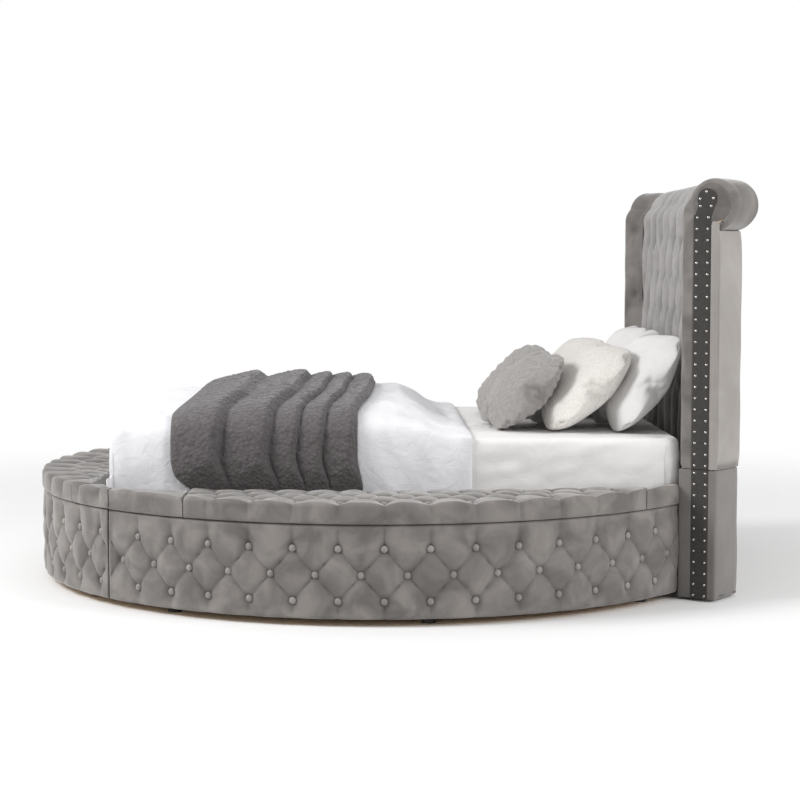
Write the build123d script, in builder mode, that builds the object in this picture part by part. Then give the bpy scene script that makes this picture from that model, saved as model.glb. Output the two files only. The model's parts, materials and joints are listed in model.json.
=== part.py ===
"""A round storage bed: a tufted ring of three lidded boxes round a mattress, under a winged, scroll-top headboard.

The origin is on the floor at the centre of the ring. +Y runs to the headboard and +Z up.
Right is +X and left is -X, as seen from the foot of the bed. Lengths are in millimetres
and angles in degrees.
"""
import os
from math import acos, asin, atan2, ceil, cos, degrees, floor, pi, radians, sin, sqrt

from build123d import *

# Mattress and its well
mattress_width = 1524.0
mattress_length = 2032.0
mattress_height = 290.0
mattress_corner = 60.0
mattress_edge = 22.0
mattress_base = 289.0
well_clearance = 13.0
foot_clearance = 6.0

# Ring of boxes
ring_radius = 1325.0
foot_chord = 965.0
base_lift = 25.0
floor_thickness = 15.0
seam_height = 345.0
wall_thickness = 15.0
wall_panel_length = 520.0
inner_wall_thickness = 18.0
skirt_thickness = 25.0
skirt_drop = 3.0
skirt_swell = 6.0
box_gap = 0.8
seat_gap = 0.3

# Rail and lid at the top of each box
rail_width = 75.0
rail_pad_thickness = 3.0
rail_pad_setback = 3.0
board_thickness = 15.0
hinge_space = 14.0
lid_crown = 74.0
lid_fall = 12.0
lid_gap = 4.0
lid_rim_round = 15.0
lid_inner_drop = 34.0
lid_squeeze = 2.0
side_lid_foot = 680.0
side_lid_head = 920.0
foot_lid_half = 700.0
side_divider = 905.0
foot_divider = 690.0
corner_pad_round = 14.0
corner_pad_setback = 26.0
corner_pad_reach = 810.0

# Diamond tufting: spacing along the ring, rows down the skirt and rows across a lid
tuft_spacing = 156.0
skirt_row_top = 84.0
skirt_row_pitch = 88.0
skirt_row_count = 3
lid_first_row = 72.0
lid_row_pitch = 84.0
lid_row_count = 4
tuft_depth = 16.0
tuft_flat = 3.0
column_margin = 0.25
edge_pleat_depth = 8.0
plain_depth = 3.0
button_radius = 12.5
button_height = 8.0
button_clearance = 0.7
button_sides = 4

# Hinges
pin_radius = 2.4
pin_clearance = 0.06
knuckle_radius = 5.0
knuckle_length = 26.0
knuckle_gap = 0.6
leaf_thickness = 2.6
hinge_margin = 90.0
knuckle_sides = 8
side_hinge_count = 3
foot_hinge_count = 2

# Mattress support
slat_thickness = 18.0
slat_width = 72.0
slat_count = 14
slat_margin = 60.0
slat_clearance = 3.0
ledge_width = 20.0
ledge_height = 40.0
beam_width = 60.0
beam_height = 40.0
leg_width = 44.0
leg_end_room = 185.0
bracket_thickness = 4.0
bracket_reach = 46.0
bracket_drop = 70.0
bolt_head_radius = 8.0
bolt_head_height = 5.0
bolt_inset = 16.0

# Feet of the boxes
foot_radius = 26.0
foot_sides = 10
foot_inset = 95.0
inner_foot_inset = 45.0
side_foot_angles = (-36.0, 7.0, 48.0)
foot_box_angles = (-33.0, 0.0, 33.0)
side_inner_feet = (-640.0, 640.0)
foot_inner_feet = (0.0,)

# Headboard
wing_angle = 53.5
wing_overlap = 12.0
wing_length = 120.0
head_thickness = 155.0
head_height = 1485.0
head_split = 472.0
split_gap = 2.0
head_floor_gap = 8.0
lower_inset = 4.0
carcass_wall = 18.0
head_pad_thickness = 52.0
back_cover_thickness = 8.0
roll_radius = 88.0
core_radius = 60.0
core_sides = 16
roll_overhang = 56.0
roll_start = 165.0
roll_tuck = 60.0
roll_step_count = 9
inner_arc_count = 5
front_sweep = 12.0
front_sweep_rise = 50.0
head_columns = 8
head_row_pitch = 137.0
head_top_row = 150.0
head_row_count = 6
head_swell = 3.0
head_tuft_depth = 24.0
head_plain_depth = 6.0
head_button_radius = 14.0
roll_pleat_depth = 7.0
trim_thickness = 3.0
trim_width = 68.0
trim_inset = 3.5
trim_crook_radius = 42.0
trim_crook_shift = 8.0
trim_crook_rise = 12.0
nail_radius = 5.5
nail_height = 4.0
nail_pitch = 39.0
nail_edge = 12.5
nail_sides = 4
glide_radius = 12.0

# Bedding
bed_gap = 0.8
touch = 0.001
duvet_side = 20.0
duvet_top = 84.0
duvet_crown = 74.0
duvet_foot_drop = 16.0
duvet_hem = 384.0
duvet_head = 320.0
duvet_round = 40.0
duvet_lie = 12.0
duvet_end_share = 0.2
duvet_crest_share = 0.6
throw_thickness = 10.0
throw_fold = 9.0
throw_foot = -715.0
throw_head = -30.0
throw_folds = 4
throw_hem = 380.0
euro_width = 640.0
euro_height = 420.0
euro_thickness = 150.0
plush_width = 600.0
plush_height = 400.0
plush_thickness = 140.0
ruched_width = 560.0
ruched_height = 360.0
ruched_thickness = 130.0
pillow_side_gap = 24.0
pillow_edge = 12.0
pillow_fold = 3.0
pillow_shoulder = (0.40, 0.36, 0.34)
pillow_crown = (0.22, 0.17)
pillow_lean = 68.0
pillow_wall_gap = 6.0
pillow_spacing = 1.0

# Worked out from the sizes above
well_half = mattress_width / 2 + well_clearance
shell_outer = ring_radius - skirt_thickness
shell_inner = shell_outer - wall_thickness
floor_top = base_lift + floor_thickness
wall_bottom = floor_top + seat_gap
lid_bottom = seam_height + seat_gap
board_top = lid_bottom + board_thickness
crown_height = seam_height + lid_crown
hinge_height = lid_bottom + board_thickness / 2
hinge_half = hinge_space / 2
tuft_angle = degrees(tuft_spacing / ring_radius)
facet_angle = tuft_angle / 2 * (1 + column_margin)
skirt_inner = (shell_outer + seat_gap) / cos(radians(facet_angle / 2))
gap_angle = degrees(box_gap / ring_radius)
side_foot_end = -(foot_chord - box_gap)
foot_inner = foot_chord
foot_turn = -90.0
mattress_foot = -(foot_chord - foot_clearance)
mattress_head = mattress_foot + mattress_length
mattress_top = mattress_base + seat_gap + mattress_height
ledge_top = mattress_base - slat_thickness - seat_gap
beam_bottom = ledge_top - beam_height
lean = Vector(cos(radians(wing_angle)), sin(radians(wing_angle)), 0)
along = Vector(sin(radians(wing_angle)), -cos(radians(wing_angle)), 0)
wing_edge = lean * (ring_radius - wing_overlap)
wing_corner = wing_edge - along * wing_length
mitre_share = lean.X / (1 + lean.Y)
head_front = wing_corner.Y
core_height = head_height - roll_radius
core_depth = head_thickness + roll_overhang - roll_radius
carcass_front = head_pad_thickness + seat_gap
carcass_back = head_thickness - back_cover_thickness - seat_gap
carcass_top = core_height - core_radius - seat_gap
upper_bottom = head_split + split_gap


# Shared forms

def named(piece, label):
    """Give a finished piece its name."""
    piece.part.label = label
    return piece.part


def radial_plane(angle):
    """A plane through the ring's axis: its x is the radius and its y is the height."""
    out = Vector(cos(radians(angle)), sin(radians(angle)), 0)
    return Plane(origin=(0, 0, 0), x_dir=out, z_dir=out.cross(Vector(0, 0, 1)))


def side_plane(place):
    """A plane square to Y at a place along it: its x is X and its y is the height."""
    return Plane(origin=(0, place, 0), x_dir=(1, 0, 0), z_dir=(0, -1, 0))


def chord_plane(place, side):
    """A plane square to X at a place along it, read outwards along +Y or -Y."""
    return Plane(origin=(place, 0, 0), x_dir=(0, side, 0), z_dir=(side, 0, 0))


def on_chord(outline, place):
    """An outline in radius and height, laid on a plane at a distance from the ring's axis."""
    return [(sqrt(radius ** 2 - place ** 2), height) for radius, height in outline]


def faceted(sections):
    """A closed skin of flat facets between sections, each a plane and its closed outline."""
    rings = [[plane.from_local_coords(Vector(*point)) for point in outline]
             for plane, outline in sections]
    facets = [rings[0], rings[-1]]
    for low, high in zip(rings, rings[1:]):
        low_ends = [*low[1:], low[0]]
        high_ends = [*high[1:], high[0]]
        for start, end, far_start, far_end in zip(low, low_ends, high, high_ends):
            if (end - far_start).length < (far_end - start).length:
                facets += [[start, end, far_start], [end, far_end, far_start]]
            else:
                facets += [[start, end, far_end], [start, far_end, far_start]]
    return Solid(Shell([Face(Wire.make_polygon(corners)) for corners in facets]))


def faceted_piece(label, sections):
    """A tufted or stuffed form, made of flat facets between its sections."""
    with BuildPart() as piece:
        add(faceted(sections))
    return named(piece, label)


def studs(label, planes, radius, height, sides):
    """Small flat caps, one on each plane."""
    with BuildPart() as caps:
        with BuildSketch(*planes):
            RegularPolygon(radius, sides)
        extrude(amount=height)
    return named(caps, label)


def mirrored(label, piece):
    """The same piece on the left of the bed."""
    with BuildPart() as copy:
        mirror(piece, about=Plane.YZ)
    return named(copy, label)


def turned(label, piece):
    """A piece of the foot box, turned from the +X side of the ring to its foot."""
    with BuildPart() as copy:
        add(piece, rotation=(0, 0, foot_turn))
    return named(copy, label)


def together(label, *pieces):
    """Separate pieces of one kind, kept in one node."""
    with BuildPart() as group:
        for piece in pieces:
            add(piece)
    return named(group, label)


def block(label, low_x, high_x, low_y, high_y, bottom, height):
    """A plain board by its corners."""
    with BuildPart() as board:
        with BuildSketch(Plane.XY.offset(bottom)):
            with Locations(((low_x + high_x) / 2, (low_y + high_y) / 2)):
                Rectangle(high_x - low_x, high_y - low_y)
        extrude(amount=height)
    return named(board, label)


# Diamond tufting: columns stand half a spacing apart, and buttons stand in every other one

def on_parity(column, row):
    """True where a column and a row meet at a button."""
    return (column + row) % 2 == 0


def tufted_face(column, rows, depth, edge):
    """Places and depths across a tufted section at a column: three at a button, one at a crown.

    The first and last rows are the section's edges, where the pleats of the buttons run out.
    """
    pitch = rows[2] - rows[1]
    way = tuft_flat if pitch > 0 else -tuft_flat
    rise = depth * way / pitch
    last = len(rows) - 1
    face = []
    for row, place in enumerate(rows):
        meets = on_parity(column, row - 1)
        at_edge = row in (0, last)
        if at_edge:
            deep = 0.0 if meets else edge
        else:
            deep = depth if meets else 0.0
        if meets and row > 0:
            face.append((place - way, deep))
        face.append((place, deep - rise if meets and not at_edge else deep))
        if meets and row < last:
            face.append((place + way, deep))
    return face


def column_angle(column):
    return column * tuft_angle / 2


def column_steps(low, high):
    """Columns between two angles, a little inside them."""
    step_angle = tuft_angle / 2
    first = ceil(low / step_angle + column_margin)
    last = floor(high / step_angle - column_margin)
    return list(range(first, last + 1))


def button_planes(places):
    """Planes for buttons from their places and the ways that they face."""
    return [Plane(origin=place, z_dir=out) for place, out in places]


def button_seat(depth, radius, spacing):
    """Depth at which a button clears the slopes of its dimple."""
    return depth * (1 - radius / (spacing / 2)) - button_clearance


# Skirt: the padded, tufted face of a box

skirt_top = seam_height - skirt_drop
skirt_middle = (skirt_top + base_lift) / 2
skirt_half = (skirt_top - base_lift) / 2


def skirt_crown(height):
    """Radius of the skirt's crown at a height: it swells a little between its edges."""
    return ring_radius - skirt_swell * ((height - skirt_middle) / skirt_half) ** 2


def skirt_rows():
    """Heights down the skirt's face: its top edge, its button rows and its hem."""
    first = seam_height - skirt_row_top
    return [skirt_top, *[first - row * skirt_row_pitch for row in range(skirt_row_count)], base_lift]


def skirt_outline(column=None):
    """Radius and height round the skirt's section at a column, or at a plain end."""
    tufted = tufted_face(0 if column is None else column, skirt_rows(), tuft_depth, edge_pleat_depth)
    face = [(skirt_crown(height) - (plain_depth if column is None else depth), height)
            for height, depth in tufted]
    return [(skirt_inner, skirt_top), *face, (skirt_inner, base_lift)]


def skirt(label, low_end, low_angle, high_end, high_angle):
    """A skirt between two plain end sections, tufted between their angles."""
    steps = column_steps(low_angle, high_angle)
    middle = [(radial_plane(column_angle(step)), skirt_outline(step)) for step in steps]
    return faceted_piece(label, [low_end, *middle, high_end])


def skirt_button_places(low_angle, high_angle, turn):
    """Places and directions of the buttons in a skirt's dimples."""
    seat = button_seat(tuft_depth, button_radius, tuft_spacing)
    places = []
    margin = tuft_angle / 4
    for column in column_steps(low_angle + margin, high_angle - margin):
        angle = radians(column_angle(column) + turn)
        out = Vector(cos(angle), sin(angle), 0)
        for row in range(skirt_row_count):
            height = seam_height - skirt_row_top - row * skirt_row_pitch
            if on_parity(column, row):
                places.append((out * (skirt_crown(height) - seat) + Vector(0, 0, height), out))
    return places


# Lid: its pad, board and buttons, for a box whose inner wall is square to X

def lid_face(column, inner_radius):
    """Radius and height across the lid's top, from its rim to its inner edge."""
    room = ring_radius - inner_radius
    limit = room - 2 * lid_rim_round
    rows = [lid_rim_round]
    rows += [lid_rim_round + lid_first_row + row * lid_row_pitch for row in range(lid_row_count)]
    rows.append(rows[-1] + lid_row_pitch)
    tufted = tufted_face(column, rows, tuft_depth, edge_pleat_depth)
    face = []
    for index, (offset, depth) in enumerate(tufted):
        last = limit - (len(tufted) - 1 - index) * lid_squeeze
        squeezed = offset > last
        offset = min(offset, last)
        crown = crown_height - lid_fall * (offset / room) ** 2
        face.append((ring_radius - offset, crown - (plain_depth if squeezed else depth)))
    return face


def lid_outline(column, inner_radius, board_radius):
    """Radius and height round a lid pad's section, over a board's rim or without one."""
    dip = edge_pleat_depth if on_parity(column, 0) else 0.0
    rim_height = crown_height - lid_rim_round
    inner = inner_radius + seat_gap
    outline = [(board_radius, lid_bottom)]
    outline.append((ring_radius - lid_rim_round / 4 - dip / 2, lid_bottom))
    outline.append((ring_radius - dip / 2, (lid_bottom + rim_height) / 2))
    outline.append((ring_radius - lid_rim_round / 3 - dip / 2, rim_height - dip / 2))
    outline.extend(lid_face(column, inner_radius))
    outline.append((inner_radius + lid_rim_round, crown_height - lid_inner_drop / 2))
    outline.append((inner, crown_height - lid_inner_drop))
    return outline


def lid_pad_outline(column, inner_radius):
    """The section of a pad that is wrapped round its board's rim."""
    inner = inner_radius + seat_gap
    outline = lid_outline(column, inner_radius, skirt_inner)
    return [*outline, (inner, board_top + seat_gap), (skirt_inner, board_top + seat_gap)]


def fixed_pad_outline(column, inner_radius):
    """The section of a fixed corner pad, flat underneath."""
    return lid_outline(column, inner_radius, inner_radius + seat_gap)


def lid_pad(label, inner, low, high):
    """A lid's tufted pad between two ends square to the hinge, at places along it."""
    angles = [degrees(asin(place / ring_radius)) for place in (low, high)]
    steps = column_steps(*angles)
    ends = []
    for place in (low, high):
        outline = lid_pad_outline(1, sqrt(inner ** 2 + place ** 2))
        ends.append((side_plane(place), on_chord(outline, place)))
    middle = []
    for step in steps:
        angle = column_angle(step)
        middle.append((radial_plane(angle), lid_pad_outline(step, inner / cos(radians(angle)))))
    return faceted_piece(label, [ends[0], *middle, ends[1]])


def foot_corner_pad(label):
    """The fixed, tufted pad beyond the foot lid's +Y end, narrowing to the ring's corner."""
    low = foot_lid_half + lid_gap
    setback = foot_inner + corner_pad_setback
    steps = column_steps(degrees(atan2(low, setback)), degrees(atan2(corner_pad_reach, setback)))
    first = fixed_pad_outline(1, sqrt(setback ** 2 + low ** 2))
    sections = [(side_plane(low), on_chord(first, low))]
    for step in steps:
        angle = column_angle(step)
        sections.append((radial_plane(angle), fixed_pad_outline(step, setback / cos(radians(angle)))))
    last = fixed_pad_outline(1, sqrt(foot_inner ** 2 + corner_pad_reach ** 2))
    sections.append((chord_plane(foot_inner, 1), on_chord(last, foot_inner)))
    return faceted_piece(label, sections)


def lid_button_places(inner, low, high):
    """Places of the buttons in a lid's dimples, where the pad is wide enough for them."""
    angles = [degrees(asin(place / ring_radius)) for place in (low, high)]
    places = []
    for column in column_steps(*angles):
        angle = radians(column_angle(column))
        room = ring_radius - inner / cos(angle)
        for row in range(lid_row_count):
            offset = lid_rim_round + lid_first_row + row * lid_row_pitch
            place = Vector(cos(angle), sin(angle), 0) * (ring_radius - offset)
            clear = low + tuft_spacing / 3 < place.Y < high - tuft_spacing / 3
            if on_parity(column, row) and offset < room - lid_row_pitch and clear:
                spacing = tuft_spacing * (ring_radius - offset) / ring_radius
                seat = button_seat(tuft_depth, button_radius, spacing)
                height = crown_height - lid_fall * (offset / room) ** 2 - seat
                places.append((place + Vector(0, 0, height), Vector(0, 0, 1)))
    return places


# Carcass of a box: boards cut to the ring's arc, for a box whose inner wall is square to X

def arc_board(label, inner, radius, low, high, bottom, thickness):
    """A board between an inner edge, the ring's arc and two square ends."""
    with BuildPart() as board:
        with BuildSketch(Plane.XY.offset(bottom)):
            Circle(radius)
            with Locations(((inner + radius) / 2, (low + high) / 2)):
                Rectangle(radius - inner, high - low, mode=Mode.INTERSECT)
        extrude(amount=thickness)
    return named(board, label)


def lid_board(label, inner, low, high):
    """The board in a lid, a little inside its pad's rim."""
    return arc_board(label, inner, shell_outer - seat_gap, low, high, lid_bottom, board_thickness)


def outer_wall(label, inner, low, high):
    """The bent plywood wall behind a skirt, in panels butted end to end."""
    count = ceil((high - low) / wall_panel_length)
    length = (high - low) / count
    panels = []
    for index in range(count):
        start = low + index * length
        panels.append(wall_panel("panel", inner, start, start + length - seat_gap))
    return together(label, *panels)


def wall_panel(label, inner, low, high):
    """One bent panel between two cuts square to Y."""
    with BuildPart() as wall:
        with BuildSketch(Plane.XY.offset(wall_bottom)):
            Circle(shell_outer)
            Circle(shell_inner, mode=Mode.SUBTRACT)
            with Locations(((inner + ring_radius) / 2, (low + high) / 2)):
                Rectangle(ring_radius - inner, high - low, mode=Mode.INTERSECT)
        extrude(amount=seam_height - wall_bottom)
    return named(wall, label)


def inner_wall(label, inner, low, high):
    """The upright board between a box and the mattress well, cut off at the ring."""
    return arc_cut(label, inner, inner + inner_wall_thickness, low, high)


def divider(label, inner, place):
    """An end wall of a box's store, from its inner wall to its bent wall."""
    start = inner + inner_wall_thickness + seat_gap
    return arc_cut(label, start, ring_radius, place, place + wall_thickness)


def arc_cut(label, low_x, high_x, low_y, high_y):
    """An upright board that ends just inside the bent wall."""
    with BuildPart() as board:
        with BuildSketch(Plane.XY.offset(wall_bottom)):
            with Locations(((low_x + high_x) / 2, (low_y + high_y) / 2)):
                Rectangle(high_x - low_x, high_y - low_y)
            Circle(shell_inner - seat_gap, mode=Mode.INTERSECT)
        extrude(amount=seam_height - wall_bottom)
    return named(board, label)


def rail_board(label, inner, low, high):
    """The board along the mattress well that the lid is hinged to."""
    return block(label, inner, inner + rail_width - hinge_half, low, high, lid_bottom, board_thickness)


def rail_pad(label, inner, low, high):
    """The thin padded strip on the rail board."""
    edge = inner + rail_width - hinge_half - rail_pad_setback
    return block(label, inner, edge, low, high, board_top + seat_gap, rail_pad_thickness)


def fixed_pad(label, inner, low, high, end_angle=None):
    """A plain fixed pad at the height of the lids, cut at the wing's plane where it meets it."""
    with BuildPart() as pad:
        with BuildSketch(Plane.XY.offset(lid_bottom)) as plan:
            Circle(ring_radius - plain_depth)
            with Locations(((inner + ring_radius) / 2, (low + high) / 2)):
                Rectangle(ring_radius - inner, high - low, mode=Mode.INTERSECT)
            if end_angle is not None:
                with Locations((0, 0)):
                    Rectangle(2 * ring_radius, 2 * ring_radius, rotation=end_angle,
                              align=(Align.CENTER, Align.MAX), mode=Mode.INTERSECT)
        extrude(amount=crown_height - lid_bottom)
        top = pad.faces().sort_by(Axis.Z)[-1]
        chamfer(top.edges().filter_by(GeomType.CIRCLE), corner_pad_round)
    return named(pad, label)


# Hinges along a box's rail

def hinge_spots(low, high, count):
    """Places along a rail for a number of hinges."""
    first = low + hinge_margin
    last = high - hinge_margin
    return [first + (last - first) * index / (count - 1) for index in range(count)]


def hinge_leaves(label, inner, spots, moving):
    """Leaves and knuckles of one side of each hinge: the middle knuckle is the lid's."""
    axis = inner + rail_width
    side = 1 if moving else -1
    pitch = knuckle_length + knuckle_gap
    places = [0] if moving else [-pitch, pitch]
    face = hinge_half - seat_gap
    rise = board_thickness / 2 - seat_gap
    bore = pin_radius + pin_clearance
    sides = knuckle_sides
    with BuildPart() as leaves:
        for spot in spots:
            for place in places:
                start = spot + place - knuckle_length / 2
                end_plane = Plane(origin=(axis, start, hinge_height), x_dir=(side, 0, 0), z_dir=(0, 1, 0))
                with BuildSketch(end_plane):
                    with Locations((face - leaf_thickness / 2, 0)):
                        Rectangle(leaf_thickness, 2 * rise)
                    RegularPolygon(knuckle_radius, sides)
                    RegularPolygon(bore, sides, major_radius=False, mode=Mode.SUBTRACT)
                extrude(amount=knuckle_length)
    return named(leaves, label)


def hinge_pins(label, inner, spots):
    """One pin for each hinge."""
    half = 3 * knuckle_length / 2 + knuckle_gap
    planes = [Plane(origin=(inner + rail_width, spot - half, hinge_height), z_dir=(0, 1, 0))
              for spot in spots]
    with BuildPart() as pins:
        with BuildSketch(*planes):
            Circle(pin_radius)
        extrude(amount=2 * half)
    return named(pins, label)


# Feet and mattress support

def feet(label):
    """Round black feet under the boxes, out by the skirt and in by the mattress well."""
    outer = ring_radius - foot_inset
    spots = []
    for angle in side_foot_angles:
        place = Vector(cos(radians(angle)), sin(radians(angle)), 0) * outer
        spots += [place, Vector(-place.X, place.Y, 0)]
    for angle in foot_box_angles:
        turned_angle = radians(angle + foot_turn)
        spots.append(Vector(cos(turned_angle), sin(turned_angle), 0) * outer)
    for place in side_inner_feet:
        spots += [Vector(side * (well_half + inner_foot_inset), place, 0) for side in (-1, 1)]
    spots += [Vector(place, -(foot_inner + inner_foot_inset), 0) for place in foot_inner_feet]
    with BuildPart() as pads:
        with BuildSketch():
            with Locations(*spots):
                RegularPolygon(foot_radius, foot_sides)
        extrude(amount=base_lift)
    return named(pads, label)


def slats(label):
    """Cross slats from ledge to ledge."""
    length = 2 * (well_half - slat_clearance)
    first = mattress_foot + slat_margin
    pitch = (mattress_length - 2 * slat_margin) / (slat_count - 1)
    spots = [(0, first + index * pitch) for index in range(slat_count)]
    with BuildPart() as boards:
        with BuildSketch(Plane.XY.offset(mattress_base - slat_thickness)):
            with Locations(*spots):
                Rectangle(length, slat_width)
        extrude(amount=slat_thickness)
    return named(boards, label)


def ledges(label, low, high):
    """Battens on the side boxes' inner walls that carry the slats."""
    with BuildPart() as battens:
        with BuildSketch(Plane.XY.offset(ledge_top - ledge_height)):
            for side in (-1, 1):
                with Locations((side * (well_half - seat_gap - ledge_width / 2), (low + high) / 2)):
                    Rectangle(ledge_width, high - low)
        extrude(amount=ledge_height)
    return named(battens, label)


def centre_beam(label, low, high):
    return block(label, -beam_width / 2, beam_width / 2, low, high, beam_bottom, beam_height)


def centre_legs(label, low, high):
    """Square legs under the centre beam: at the ring's centre and near the beam's two ends."""
    with BuildPart() as legs:
        with BuildSketch():
            with Locations(*[(0, place) for place in (low + leg_end_room, 0, high - leg_end_room)]):
                Rectangle(leg_width, leg_width)
        extrude(amount=beam_bottom - seat_gap)
    return named(legs, label)


def beam_bracket_outline():
    """An angle bracket's profile: distance from the wall, and height."""
    shelf = beam_bottom - seat_gap
    foot = shelf - bracket_drop
    thick = bracket_thickness
    return [(0, shelf), (bracket_reach, shelf), (bracket_reach, shelf - thick),
            (thick, shelf - thick), (thick, foot), (0, foot)]


def beam_brackets(label, low, high):
    """Angle brackets that hold up the beam's two ends."""
    with BuildPart() as brackets:
        for place, way in ((low, 1), (high, -1)):
            end = Plane(origin=(-way * beam_width / 2, place, 0), x_dir=(0, way, 0), z_dir=(way, 0, 0))
            with BuildSketch(end):
                with BuildLine():
                    Polyline(*beam_bracket_outline(), close=True)
                make_face()
            extrude(amount=beam_width)
    return named(brackets, label)


def bracket_bolts(label, low, high):
    """Heads of the bolts that fasten the brackets to the two walls."""
    height = beam_bottom - bracket_drop + bolt_inset
    planes = []
    for place, way in ((low, 1), (high, -1)):
        for side in (-1, 1):
            spot = (side * (beam_width / 2 - bolt_inset), place + way * bracket_thickness, height)
            planes.append(Plane(origin=spot, z_dir=(0, way, 0)))
    with BuildPart() as heads:
        with BuildSketch(*planes):
            RegularPolygon(bolt_head_radius, 6)
        extrude(amount=bolt_head_height)
    return named(heads, label)


# Headboard: a run of wing, panel and wing, measured by the depth behind its front

def head_plan(low, high):
    """The plan of a band of the headboard between two depths, wings and all."""
    right = []
    for depth in (low, high):
        corner = wing_corner + Vector(mitre_share, 1, 0) * depth
        edge = wing_edge + lean * depth
        right.append((edge, corner))
    path = [right[0][0], right[0][1], right[1][1], right[1][0]]
    left = [(-point.X, point.Y) for point in path]
    return [(path[0].X, path[0].Y), (path[1].X, path[1].Y), left[1], left[0],
            left[3], left[2], (path[2].X, path[2].Y), (path[3].X, path[3].Y)]


def head_band(label, low, high, bottom, top, wall=None):
    """An upright band of the headboard, solid or walled all round."""
    with BuildPart() as band:
        with BuildSketch(Plane.XY.offset(bottom)):
            with BuildLine():
                Polyline(*head_plan(low, high), close=True)
            make_face()
            if wall is not None:
                offset(amount=-wall, kind=Kind.INTERSECTION, mode=Mode.SUBTRACT)
        extrude(amount=top - bottom)
    return named(band, label)


def roll_point(angle, radius):
    """Depth and height of a point on the roll at an angle above its back."""
    return (core_depth + radius * cos(radians(angle)), core_height + radius * sin(radians(angle)))


def head_rows():
    """Heights down the front of the pad: its top edge, its button rows and its bottom edge."""
    top = head_height - head_top_row
    rows = [top - row * head_row_pitch for row in range(head_row_count)]
    return [top + front_sweep_rise, *rows, upper_bottom]


def head_swell_at(height):
    """How far the pad's front draws back from its crown at a height."""
    middle = (upper_bottom + head_height) / 2
    sweep = max(0.0, height - head_height + head_top_row) / front_sweep_rise
    return head_swell * ((height - middle) / (head_height - middle)) ** 2 + front_sweep * sweep ** 2


def head_outline(column=None):
    """Depth and height round the pad and its roll, at a column or at a plain end."""
    dip = roll_pleat_depth if column is not None and on_parity(column, 0) else 0.0
    tufted = tufted_face(0 if column is None else column, head_rows(), head_tuft_depth, roll_pleat_depth)
    outline = [(head_pad_thickness, upper_bottom)]
    for height, depth in reversed(tufted):
        outline.append((head_swell_at(height) + (head_plain_depth if column is None else depth), height))
    turn = roll_start + roll_tuck
    for step in range(roll_step_count + 1):
        outline.append(roll_point(roll_start - turn * step / roll_step_count, roll_radius - dip))
    inner_radius = (core_radius + seat_gap) / cos(radians(turn / inner_arc_count / 2))
    for step in reversed(range(inner_arc_count + 1)):
        outline.append(roll_point(roll_start - turn * step / inner_arc_count, inner_radius))
    outline.append((head_pad_thickness, carcass_top + seat_gap))
    return outline


def square_section(place, outline):
    """A section of the main panel at a place along X."""
    plane = Plane(origin=(place, head_front, 0), x_dir=(0, 1, 0), z_dir=(1, 0, 0))
    return plane, outline


def mitre_section(outline, shift=0.0):
    """The section where the right wing's pad meets the main pad."""
    slant = Vector(mitre_share, 1, 0)
    start = wing_corner + Vector(shift, 0, 0)
    plane = Plane(origin=start, x_dir=slant, z_dir=slant.cross(Vector(0, 0, 1)))
    return plane, [(depth * slant.length, height) for depth, height in outline]


def edge_section(outline, back=0.0):
    """The section at the right wing's front edge."""
    return Plane(origin=wing_edge - along * back, x_dir=lean, z_dir=lean.cross(Vector(0, 0, 1))), outline


def main_pad(label):
    """The tufted pad of the main panel, rolled over the scroll: its right half, then both."""
    pitch = wing_corner.X / head_columns
    right = [square_section(column * pitch, head_outline(column)) for column in range(head_columns)]
    right.append(mitre_section(head_outline(), -box_gap / 2))
    left = []
    for plane, outline in reversed(right[1:]):
        origin = Vector(-plane.origin.X, plane.origin.Y, 0)
        across_dir = Vector(-plane.x_dir.X, plane.x_dir.Y, 0)
        left.append((Plane(origin=origin, x_dir=across_dir, z_dir=across_dir.cross(Vector(0, 0, 1))), outline))
    return faceted_piece(label, [*left, *right])


def wing_pad(label):
    """The plain pad of the right wing, rolled over the scroll like the main pad."""
    return faceted_piece(label, [mitre_section(head_outline(), box_gap / 2), edge_section(head_outline())])


def head_button_places():
    """Places of the buttons in the main pad's dimples."""
    pitch = wing_corner.X / head_columns
    seat = button_seat(head_tuft_depth, head_button_radius, 2 * pitch)
    places = []
    for row in range(head_row_count):
        height = head_height - head_top_row - row * head_row_pitch
        for column in range(-head_columns + 1, head_columns):
            if on_parity(column, row):
                spot = Vector(column * pitch, head_front + head_swell_at(height) + seat, height)
                places.append((spot, Vector(0, -1, 0)))
    return places


def scroll_core(label):
    """The round core of the scroll, mitred at the wings."""
    start = wing_edge + lean * core_depth
    corner = wing_corner + Vector(mitre_share, 1, 0) * core_depth
    rise = Vector(0, 0, core_height)
    points = [start + rise, corner + rise, Vector(-corner.X, corner.Y, core_height),
              Vector(-start.X, start.Y, core_height)]
    with BuildPart() as core:
        with BuildLine():
            Polyline(*points)
        with BuildSketch(Plane(origin=points[0], z_dir=points[1] - points[0])):
            RegularPolygon(core_radius, core_sides)
        sweep(transition=Transition.RIGHT)
    return named(core, label)


def trim_plane():
    """The right wing's end face: its x is the depth and its y is the height."""
    return Plane(origin=wing_edge, x_dir=lean, z_dir=along)


trim_low = head_pad_thickness + trim_inset
trim_middle = trim_low + trim_width / 2


def trim_band(label):
    """The dark bands on the right wing's end, the upper one ending in a crook under the scroll."""
    lower_bottom = head_floor_gap + trim_inset
    lower_top = head_split - trim_inset
    upper_low = upper_bottom + trim_inset
    with BuildPart() as band:
        with BuildSketch(trim_plane()):
            with Locations((trim_middle, (lower_bottom + lower_top) / 2)):
                Rectangle(trim_width, lower_top - lower_bottom)
            with Locations((trim_middle, (upper_low + core_height) / 2)):
                Rectangle(trim_width, core_height - upper_low)
            with Locations((trim_middle + trim_crook_shift, core_height + trim_crook_rise)):
                Circle(trim_crook_radius)
        extrude(amount=trim_thickness)
    return named(band, label)


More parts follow.
